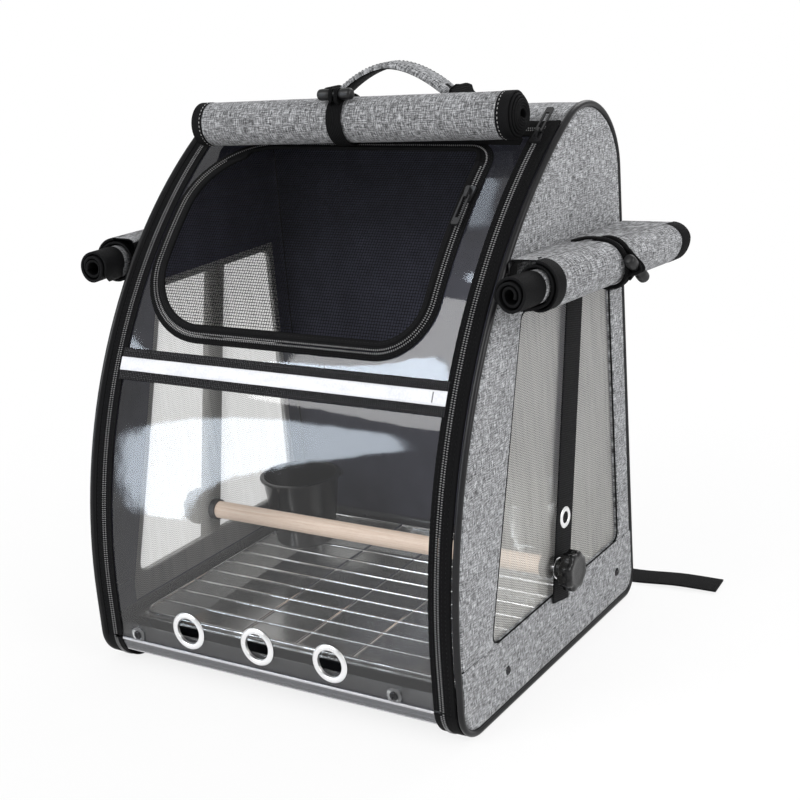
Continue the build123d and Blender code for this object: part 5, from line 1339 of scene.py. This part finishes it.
def side_tie(side, way, axis):
    first = np.array([0.0, 0.0, 1.0])
    ties = Piece()
    radius = side_radius(SIDE_TIE) + 1.5
    for shift, tilt in ((-2.7, 0.12), (2.4, -0.08)):
        centre = side_axis(SIDE_TIE + shift, way)
        ring_strap(ties, centre, unit(axis + first * tilt), unit(first - axis * tilt), radius, 0, 0, -pi, pi,
                   section=oval(4.8, 3.4, 12))
    centre = side_axis(SIDE_TIE, way)
    out = unit(np.array([way, 0, 0]) - axis * (np.array([way, 0.0, 0.0]) @ axis))
    bar_at = centre + np.array([way * 22.6, 0, -3.0])
    for shift in (-2.0, 2.0):
        slide = axis * shift
        line = curve([centre + out * 16.6 + first * (9 + shift) + slide,
                      centre + out * 21.0 + first * 6.4 + slide,
                      bar_at + out * 4.6 + slide, centre + out * 21.0 - first * 6.4 + slide,
                      centre + out * 16.6 - first * (9 + shift) + slide], 30)
        sweep(ties, line, out, oval(3.2, 2.6, 10))
    tail = curve([centre + first * (radius + 0.2) - out * 2 - axis * 3,
                  centre + first * (radius + 1.0) - out * 12 - axis * 8,
                  centre + first * (radius - 1.0) - out * 21 - axis * 15], 20)
    sweep(ties, tail, first, oval(4.2, 2.6, 10))
    ties.build("side_elastic_" + side, "root", [ELASTIC], "black_webbing", ["side_cover_tie_" + side])
    bar = Piece()
    toggle(bar, bar_at, axis * cos(40 * pi / 180) - first * sin(40 * pi / 180), 30.0, 4.6)
    bar.build("side_bar_toggle_" + side, "toggle_" + side, [SATIN], "black_plastic",
              ["side_toggle_" + side], 50)


# ---- Carrying handle ----
def handle():
    half, rise, low, y = 55.3, 25.0, 427.0, 92.0
    t = np.linspace(-1, 1, 61)
    arch = rise * (1 - np.abs(t) ** 1.8)
    line = np.stack([half * t, np.full_like(t, y), low + arch - 3.0], -1)
    line[0, 2], line[-1, 2] = low - 3.0, low - 3.0
    width = 22.0 - 11.0 * np.clip((np.abs(t) - 0.84) / 0.16, 0, 1) ** 1.5
    grip = Piece()
    tangent, _, _ = frames_along(line, (0, 1, 0))
    up = np.stack([-tangent[:, 2], 0 * t, tangent[:, 0]], -1)
    across = np.array([0.0, 1.0, 0.0])
    section = np.array([(-0.5, -0.25), (-0.485, 0.12), (-0.42, 0.38), (-0.2, 0.5), (0.2, 0.5), (0.42, 0.38),
                        (0.485, 0.12),
                        (0.5, -0.25), (0.4, -0.42), (0.0, -0.45), (-0.4, -0.42)])
    rows = line[:, None] + across * (section[None, :, :1] * width[:, None, None]) + up[:,
            None] * section[None, :, 1:] * 6.0
    run = lengths(line)
    weave = np.stack(np.broadcast_arrays(section[None, :, 0] * 22, run[:, None]), -1)
    slots = [0] * 7 + [1] * 4
    grip.grid(rows, weave, slots, loop=True, caps=1)
    for way in (-1, 1):
        picked = range(0, 6) if way < 0 else range(55, 61)
        end = [line[i] - up[i] * 0.1 for i in picked]
        sweep(grip, end, (0, 0, 1), [(x * 1.04, z * 1.15) for x, z in webbing_section(11.4, 6.0)], 1, 1)
        lathe(grip, (way * 56.2, y, low), (way, 0, 0),
              rounded([(0, 0), (6.2, 0), (6.2, 3.1), (0, 3.1)], 0.5, closed=False), 1, 24)
    obj = grip.build("handle_cover", "handle", [GREY, WEBBING], "grey_melange", ["handle_grip"], 60)
    marks = Piece()
    for side in (-8.2, 8.2):
        path = line + up * 2.65 + across * side
        want = np.arange(12.0, run[-1] - 12.0, 3.6)
        pts = np.stack([np.interp(want, run, path[:, k]) for k in range(3)], -1)
        tan = unit(np.stack([np.interp(want, run, tangent[:, k]) for k in range(3)], -1))
        upv = unit(np.stack([np.interp(want, run, up[:, k]) for k in range(3)], -1))
        marks.beads(pts, tan, upv, (2.4, 0.6, 0.6))
    marks.build("handle_stitches", "handle", [THREAD_DARK], "black_binding", sharp=0)
    tabs, seams = Piece(), Piece()
    for way in (-1, 1):
        x = way * 60.7
        path = [(x + way * 5.0, y, 419.8), (x + way * 1.6, y, 421.0), (x, y, 424.5), (x, y, 428.5),
                (x, y, 433.0)]
        points = curve(path, 16)
        widths = np.interp(points[:, 2], (420.0, 427.0, 431.0, 433.0), (20.0, 14.0, 12.6, 7.0))
        section = np.array(webbing_section(1.0, 2.2))
        rows = points[:, None] + across * (section[None, :, :1] * widths[:, None, None])
        face = unit(np.stack([np.gradient(points[:, 2]), 0 * points[:, 2], -np.gradient(points[:, 0])], -1))
        rows = rows + face[:, None] * section[None, :, 1:]
        rows = rows[::-1] if way < 0 else rows
        tabs.grid(rows, np.stack(np.broadcast_arrays(section[None, :, 0] * 20, points[:, 2][:, None]), -1),
                  0, loop=True, caps=0)
        strap(tabs, [(way * (58.0 + k), y, 419.6) for k in (0, 4.5, 9, 13.5)], (0, 0, 1), 22.0, 2.0)
        for px in (4.5, 11.0):
            for py in np.arange(-8.5, 9.0, 3.0):
                seams.beads((way * (59.0 + px), y + py, 420.7), (0, 1, 0), (0, 0, 1), (2.2, 0.6, 0.6))
        for px in np.arange(5.5, 11.0, 2.4):
            for py in (-8.5, 8.5):
                seams.beads((way * (59.0 + px), y + py, 420.7), (1, 0, 0), (0, 0, 1), (2.2, 0.6, 0.6))
    tabs.build("handle_tabs", "root", [WEBBING], "black_webbing", ["handle_anchors"])
    seams.build("handle_tab_stitches", "root", [THREAD_GREY], "black_webbing", sharp=0)


# ---- Perch ----
def knob(piece, way):
    """Eight-lobed knob with soft edges; its axis is the perch's."""
    levels = [(0.0, 7.8, 0), (0.6, 8.8, 0), (4.4, 9.0, 0), (4.9, 12.0, 0.3), (5.4, 14.6, 0.8),
              (6.4, 15.8, 1), (13.0, 15.9, 1),
              (14.8, 15.2, 0.9), (15.7, 13.6, 0.6), (16.0, 11.6, 0.25), (15.7, 9.8, 0.0), (15.5, 6.0, 0.0),
              (15.6, 0.01, 0.0)]
    turns = np.arange(96) * 2 * pi / 96
    lobe = 0.5 - 0.5 * np.cos(8 * turns)
    rows = []
    for h, r, depth in levels:
        rr = r - 1.9 * depth * (1 - lobe) ** 1.3
        rows.append(np.stack([np.full_like(turns, way * (173.2 + h)), PERCH_Y + rr * np.cos(turns),
                              PERCH_Z + rr * np.sin(turns)], -1))
    rows = np.array(rows)
    if way > 0:
        rows = rows[::-1]
    weave = np.stack(np.broadcast_arrays(turns[None] * 14, np.array([lv[0] for lv in levels])[:, None]), -1)
    piece.grid(rows, weave, 0, loop=True)


def perch():
    for side, way in SIDES:
        piece = Piece()
        knob(piece, way)
        piece.build("star_knob_" + side, "knob_" + side, [KNOB], "black_knob", ["perch_knob_" + side], 50)


# ---- Screws, cups ----
def screw_head(piece, seat, way):
    """Rounded head with a cross recess."""
    way = unit(way)
    first = unit(np.cross(way, (0.2, 0.3, 0.9)))
    first = unit(np.array([0, 0, 1.0]) - way * way[2])
    second = np.cross(way, first)
    n = 30
    r = np.linspace(0, 1, 15) ** 0.8 * 3.6
    a = np.arange(n * 2) * pi / n
    u, v = r[:, None] * np.cos(a), r[:, None] * np.sin(a)
    dome = 1.55 * np.sqrt(np.clip(1.02 - (r / 3.6) ** 2, 0.0, 1))[:, None] + 0 * u
    arm = np.minimum(np.abs(u), np.abs(v))
    reach = np.maximum(np.abs(u), np.abs(v))
    cut = 1 / (1 + np.exp((arm - 0.5) / 0.07)) / (1 + np.exp((reach - 2.1) / 0.1))
    h = dome - 0.9 * cut
    pts = np.asarray(seat, float) + u[..., None] * first + v[..., None] * second + h[..., None] * way
    piece.grid(pts, np.stack([u, v], -1), 0, loop=True)


def screws():
    piece = Piece()
    for x in FRONT_SCREWS:
        screw_head(piece, (x, FRONT + 0.3, SCREW_Z), (0, -1, 0))
    for way in (-1, 1):
        for y in (68.0, 258.0):
            screw_head(piece, (way * (HALF - 0.6), FRONT + y, SCREW_Z), (way, 0, 0))
        screw_head(piece, (way * 100.0, 144.6, SCREW_Z), (0, 1, 0))
    piece.build("screw_heads", "root", [SCREW], "black_metal", ["rim_screws"], 0)


def cups():
    # The left cup takes the clear plastic darkened with painted shade.
    for side, x, y, material, slot in (("right", 96.0, 100.0, CLEAR, "clear_plastic"),
                                       ("left", -116.0, 68.0, CLEAR_WITH_PAINTED_SHADE, "smoke_plastic")):
        shape = [(0, 0.8), (22, 0.8), (23, 0), (25, 0), (26.3, 1.5), (30.0, 30.0), (30.6, 30.8),
                 (33.9, 59.2), (36.4, 59.6), (36.5, 61.7),
                 (32.4, 61.8), (31.9, 58.0), (28.8, 31.4), (28.2, 30.2), (24.4, 2.6), (0, 2.4)]
        piece = Piece()
        lathe(piece, (x, y, 33.4), (0, 0, 1), rounded(shape, 0.8, 3, closed=False), 0, 64)
        for k in range(3):
            turn = 2 * pi * k / 3 + 0.6
            lathe(piece, (x + 36.0 * cos(turn), y + 36.0 * sin(turn), 33.4 + 57.0), (0, 0, 1),
                  rounded([(0, 0), (1.6, 0), (1.6, 4.4), (0, 4.4)], 0.4, 3, closed=False), 0, 16)
        piece.build("food_cup_" + side, "cup_" + side, [material], slot, ["feeder_cup_" + side], 50)


# ---- Shoulder pads ----
def pad_line(z):
    """Middle of a pad's thickness at a height."""
    low, high, wall, bow, thick = 150.0, 372.0, 145.0, 24.0, 11.0
    half = (high - low) / 2
    r = (half ** 2 + bow ** 2) / (2 * bow)
    centre = wall + bow - r
    return centre + np.sqrt(r ** 2 - (z - (low + high) / 2) ** 2) + thick / 2


def shoulder_pad(side, way):
    z = stations(152.0, 370.0, 4.0)
    y = pad_line(z)
    half = 27.0 - 7.0 * np.clip((172.0 - z) / 20.0, 0, 1) ** 2 - 2.5 * np.clip((z - 340.0) / 30.0, 0, 1)
    line = np.stack([np.full_like(z, way * 72.0), y, z], -1)
    tangent = unit(np.gradient(line, axis=0))
    up = np.stack([0 * z, tangent[:, 2], -tangent[:, 1]], -1)
    section = oval(2.0, 8.2, 20, 0.55)
    rows = (line[:, None] + np.array([1.0, 0, 0]) * (section[None, :, :1] * half[:, None, None])
            + up[:, None] * section[None, :, 1:])
    piece = Piece().grid(rows, np.stack(np.broadcast_arrays(section[None, :, 0] * 27, z[:, None]), -1), 0,
                         loop=True, caps=0)
    obj = piece.build("padded_shoulder_strap_" + side, "root", [GREY, AIR_MESH], "grey_melange",
                      ["shoulder_pad_" + side], 0)
    swell(obj, 3.0)
    mesh = obj.data
    co = np.empty(len(mesh.vertices) * 3, np.float32)
    mesh.vertices.foreach_get("co", co)
    co = co.reshape(-1, 3) / MM
    low_y = 145.3
    co[:, 1] = np.maximum(co[:, 1], low_y)
    mesh.vertices.foreach_set("co", (co * MM).astype(np.float32).ravel())
    weave = mesh.attributes.get("weave") or mesh.attributes.new("weave", "FLOAT_VECTOR", "POINT")
    weave.data.foreach_set("vector", np.column_stack([co[:, 0], co[:, 2],
                                                      0 * co[:, 0]]).astype(np.float32).ravel())
    for poly in mesh.polygons:
        poly.material_index = 1 if poly.normal.y < -0.25 else 0
        poly.use_smooth = True
    trim = Piece()
    for edge in (-1, 1):
        path = line + np.array([1.0, 0, 0]) * (edge * (half + 0.4))[:, None]
        sweep(trim, path[1:-1], (0, 1, 0), oval(4.2, 4.2, 10))
    trim.build("shoulder_strap_trim_" + side, "root", [BINDING], "black_binding")
    loop = Piece()
    pin_y, pin_z = 151.4, 146.7
    low_bend = [(way * 72.0, pin_y + 3.3 * cos(t), pin_z + 3.3 * sin(t)) for t in np.linspace(pi * 0.75,
            2.25 * pi, 20)]
    path = [(way * 72.0, pin_y - 1.4, pin_z + 13.0)] + low_bend + [(way * 72.0, pin_y + 3.0, pin_z + 13.0)]
    sweep(loop, np.array(path), (way, 0, 0), [(-0.8, -12.5), (0.8, -12.5), (0.8, 12.5), (-0.8, 12.5)])
    loop.build("buckle_loop_" + side, "root", [WEBBING], "black_webbing", sharp=30)


def swell(obj, limit):
    """Blows the pad up as stuffed cloth, then caps how far each point moved and smooths it."""
    bpy.context.view_layer.objects.active = obj
    for other in bpy.context.selected_objects:
        other.select_set(False)
    obj.select_set(True)
    remesh = obj.modifiers.new("remesh", "REMESH")
    remesh.mode, remesh.voxel_size = "VOXEL", 5.0 * MM
    bpy.ops.object.modifier_apply(modifier="remesh")
    rest = np.array([v.co for v in obj.data.vertices])
    scene = bpy.context.scene
    cloth = obj.modifiers.new("cloth", "CLOTH")
    cloth.settings.use_pressure = True
    cloth.settings.uniform_pressure_force = 4.0
    cloth.settings.effector_weights.gravity = 0.0
    cloth.settings.quality = 6
    cloth.point_cache.frame_start, cloth.point_cache.frame_end = 1, 20
    for step in range(1, 21):
        scene.frame_set(step)
    bpy.ops.object.modifier_apply(modifier="cloth")
    scene.frame_set(1)
    now = np.array([v.co for v in obj.data.vertices])
    move = now - rest
    size = np.linalg.norm(move, axis=1, keepdims=True)
    now = rest + move * np.minimum(1.0, limit * MM / np.maximum(size, 1e-9))
    obj.data.vertices.foreach_set("co", now.astype(np.float32).ravel())
    smooth = obj.modifiers.new("smooth", "SMOOTH")
    smooth.factor, smooth.iterations = 0.5, 3
    bpy.ops.object.modifier_apply(modifier="smooth")
    finer = obj.modifiers.new("finer", "SUBSURF")
    finer.levels = 1
    bpy.ops.object.modifier_apply(modifier="finer")


def dress_cad():
    """Materials of the CAD nodes that show as they are."""
    nodes = frame["nodes"]
    looks = {"base_board": LINING_CAD, "base_rim": CLEAR_CAD, "steel_tray": STEEL, "wire_grid": WIRE,
             "perch_dowel": BEECH_WITH_PAINTED_GLOW,
             "perch_bolts": ZINC, "perch_washers": SATIN_CAD, "side_piping_left": PIPING,
             "side_piping_right": PIPING,
             "ladder_lock_left": SATIN_CAD, "ladder_lock_right": SATIN_CAD, "mesh_slider": ENAMEL,
             "mesh_puller": ENAMEL,
             "door_slider_left": ENAMEL, "door_slider_right": ENAMEL, "door_puller_left": ENAMEL,
             "door_puller_right": ENAMEL}
    for name, material in looks.items():
        node = nodes[name]
        node.data.materials.clear()
        node.data.materials.append(material)


# ---- Room, lights and camera ----
CAMERA = np.array([662.5, -934.6, 545.2])
RIGHT, UP, AHEAD = np.array([0.8433, 0.5322, -0.0750]), np.array([-0.0965, 0.2873,
        0.9529]), np.array([-0.5287, 0.7964, -0.2937])

# Distances from the middle between which the floor turns plain white, and its share of white at each.
FLOOR_FADE = (330.0, 900.0, 0.84, 1.0)
# Each softbox: its outline on the clear face in picture coordinates (800 wide), brightness and soft edge.
SOFTBOXES = (
    ("low softbox", [(116, 452), (119, 436), (134, 426), (170, 418), (230, 414), (290, 418), (350, 426),
                     (400, 432), (416, 440), (420, 450), (400, 453), (340, 460), (280, 469), (225, 480),
                     (190, 500), (178, 525), (150, 528), (130, 510), (118, 480)], 9.5, 0.1),
    ("high softbox", [(250, 371), (250, 361), (330, 366), (390, 366), (420, 358), (440, 355), (452, 366),
                      (455, 384), (400, 379), (320, 374)], 17.0, 0.12),
    ("left softbox", [(118, 330), (132, 318), (134, 335), (146, 348), (170, 356), (170, 364), (118, 362)],
     8.0, 0.12),
    ("small window", [(460, 277), (464, 272), (472, 271), (477, 276), (473, 282), (465, 283)], 9.0, 0.2),
    ("grey strip", [(468, 235), (492, 230), (500, 180), (492, 165), (478, 180)], 3.2, 0.3),
)


def stage_plane(name, size, centre, material):
    bpy.ops.mesh.primitive_plane_add(size=size, location=centre)
    plane = bpy.context.object
    plane.name = name
    plane.data.materials.append(material)
    return plane


def white_rays(m):
    """1 for rays that should see plain white: from the camera, in reflections and through clear pieces."""
    path = m.node("ShaderNodeLightPath")
    seen = m.math("MAXIMUM", path.outputs["Is Camera Ray"], path.outputs["Is Glossy Ray"])
    return m.math("MAXIMUM", seen, path.outputs["Is Transmission Ray"])


def floor_material():
    m = Shader("pale floor", (0.9, 0.9, 0.9), 0.9)
    w = m.place()
    fine = m.noise(m.scaled(w, (1 / 40, 1 / 40, 1 / 40)), 3, 0.5)
    m.colour(m.mix(fine, (0.88, 0.88, 0.88), (0.92, 0.92, 0.92)))
    glow = m.node("ShaderNodeEmission", {"Color": (1, 1, 1), "Strength": 1.0})
    away = m.node("ShaderNodeVectorMath", {0: w}, operation="LENGTH").outputs["Value"]
    share = m.math("MULTIPLY", white_rays(m), m.spread(away, *FLOOR_FADE))
    mix = m.node("ShaderNodeMixShader", {0: share, 1: m.bsdf.outputs[0], 2: glow.outputs[0]})
    m.links.new(mix.outputs[0], m.out.inputs[0])
    return m.material


def world():
    scene = bpy.context.scene
    sky = bpy.data.worlds.new("studio")
    scene.world = sky
    sky.use_nodes = True
    nodes, links = sky.node_tree.nodes, sky.node_tree.links
    back = nodes["Background"]
    path = nodes.new("ShaderNodeLightPath")
    seen = nodes.new("ShaderNodeMath")
    seen.operation = "MAXIMUM"
    links.new(path.outputs["Is Camera Ray"], seen.inputs[0])
    links.new(path.outputs["Is Transmission Ray"], seen.inputs[1])
    strength = nodes.new("ShaderNodeMapRange")
    links.new(seen.outputs[0], strength.inputs["Value"])
    strength.inputs["To Min"].default_value = 0.62
    strength.inputs["To Max"].default_value = 1.0
    links.new(strength.outputs[0], back.inputs["Strength"])
    back.inputs["Color"].default_value = (1, 1, 1, 1)


def lamp(name, place_at, aim, power, size):
    data = bpy.data.lights.new(name, "AREA")
    data.energy, data.size = power, size
    obj = bpy.data.objects.new(name, data)
    obj.location = Vector(place_at)
    obj.rotation_euler = (Vector(aim) - Vector(place_at)).to_track_quat("-Z", "Y").to_euler()
    bpy.context.scene.collection.objects.link(obj)


def face_hit(px, py):
    """Where the camera sees the clear face at a place in the picture, and the face's normal there."""
    ray = unit(AHEAD + RIGHT * (px - 400) / 1500 - UP * (py - 400) / 1500)
    centre = np.array([ARC_Y, ARC_Z])
    r = RADIUS - FACE
    o, d = CAMERA[1:] - centre, ray[1:]
    a, b, c = d @ d, 2 * o @ d, o @ o - r * r
    t = (-b - (b * b - 4 * a * c) ** 0.5) / (2 * a)
    hit = CAMERA + ray * t
    if hit[2] < FRONT_STRAIGHT:
        t = (FRONT + FACE - CAMERA[1]) / ray[1]
        hit = CAMERA + ray * t
        return hit, ray, np.array([0.0, -1.0, 0.0])
    return hit, ray, unit(np.array([0.0, hit[1] - ARC_Y, hit[2] - ARC_Z]))


def card(name, outline_px, strength, reach=1500.0, inner=0.25):
    """Softbox whose reflection in the clear face has this outline in the picture. Only reflections see it."""
    points = []
    for px, py in outline_px:
        hit, ray, normal = face_hit(px, py)
        out = ray - 2 * (ray @ normal) * normal
        points.append(hit + out * reach)
    points = np.array(points)
    middle = points.mean(0)
    rings_of = [points, middle + (points - middle) * (1 - inner), middle[None].repeat(len(points), 0)]
    glow = (0.0, 1.0, 1.0)
    mesh = bpy.data.meshes.new(name)
    n = len(points)
    verts = np.concatenate(rings_of) * MM
    faces = [[k * n + i, k * n + (i + 1) % n, (k + 1) * n + (i + 1) % n,
              (k + 1) * n + i] for k in range(2) for i in range(n)]
    mesh.from_pydata(verts.tolist(), [], faces)
    level = mesh.attributes.new("glow", "FLOAT", "POINT")
    level.data.foreach_set("value", np.repeat(glow, n).astype(np.float32))
    m = Shader(name + " light", (1, 1, 1), 1.0)
    share = m.node("ShaderNodeAttribute", attribute_name="glow").outputs["Fac"]
    light = m.node("ShaderNodeEmission", {"Color": (0.80, 0.89, 1.0),
                                          "Strength": m.math("MULTIPLY", share, strength)})
    clear = m.node("ShaderNodeBsdfTransparent", {"Color": (1, 1, 1)})
    mix = m.node("ShaderNodeMixShader", {0: share, 1: clear.outputs[0], 2: light.outputs[0]})
    m.links.new(mix.outputs[0], m.out.inputs[0])
    mesh.materials.append(m.material)
    obj = bpy.data.objects.new(name, mesh)
    bpy.context.scene.collection.objects.link(obj)
    obj.visible_camera = obj.visible_diffuse = obj.visible_shadow = obj.visible_transmission = False


def studio():
    world()
    stage_plane("floor", 9.0, (0, 0, -0.0006), floor_material())
    lamp("key", (-1.1, -2.3, 2.1), (0, 0, 0.2), 42, 1.6)
    lamp("side", (2.6, -0.3, 1.5), (0, 0, 0.2), 40, 1.8)
    lamp("back", (0.3, 2.4, 2.2), (0, 0, 0.3), 30, 1.8)
    for name, outline_px, strength, edge in SOFTBOXES:
        card(name, outline_px, strength, inner=edge)


def camera():
    data = bpy.data.cameras.new("camera")
    data.lens, data.sensor_width = 67.5, 36.0
    data.clip_end = 20.0
    obj = bpy.data.objects.new("camera", data)
    turn = Matrix(((RIGHT[0], UP[0], -AHEAD[0]), (RIGHT[1], UP[1], -AHEAD[1]), (RIGHT[2], UP[2], -AHEAD[2])))
    obj.matrix_world = Matrix.Translation(Vector(CAMERA * MM)) @ turn.to_4x4()
    bpy.context.scene.collection.objects.link(obj)
    bpy.context.scene.camera = obj
    bpy.context.scene.view_settings.view_transform = "Standard"


side_panels()
side_windows()
crown_and_back()
body_zip()
door_zip()
mesh_door()
clear_front()
sill()
stripe()
rings()
perch_straps()
webbing()
front_roll()
side_rolls()
handle()
perch()
screws()
cups()
for side_name, side_way in SIDES:
    shoulder_pad(side_name, side_way)
dress_cad()
studio()
camera()
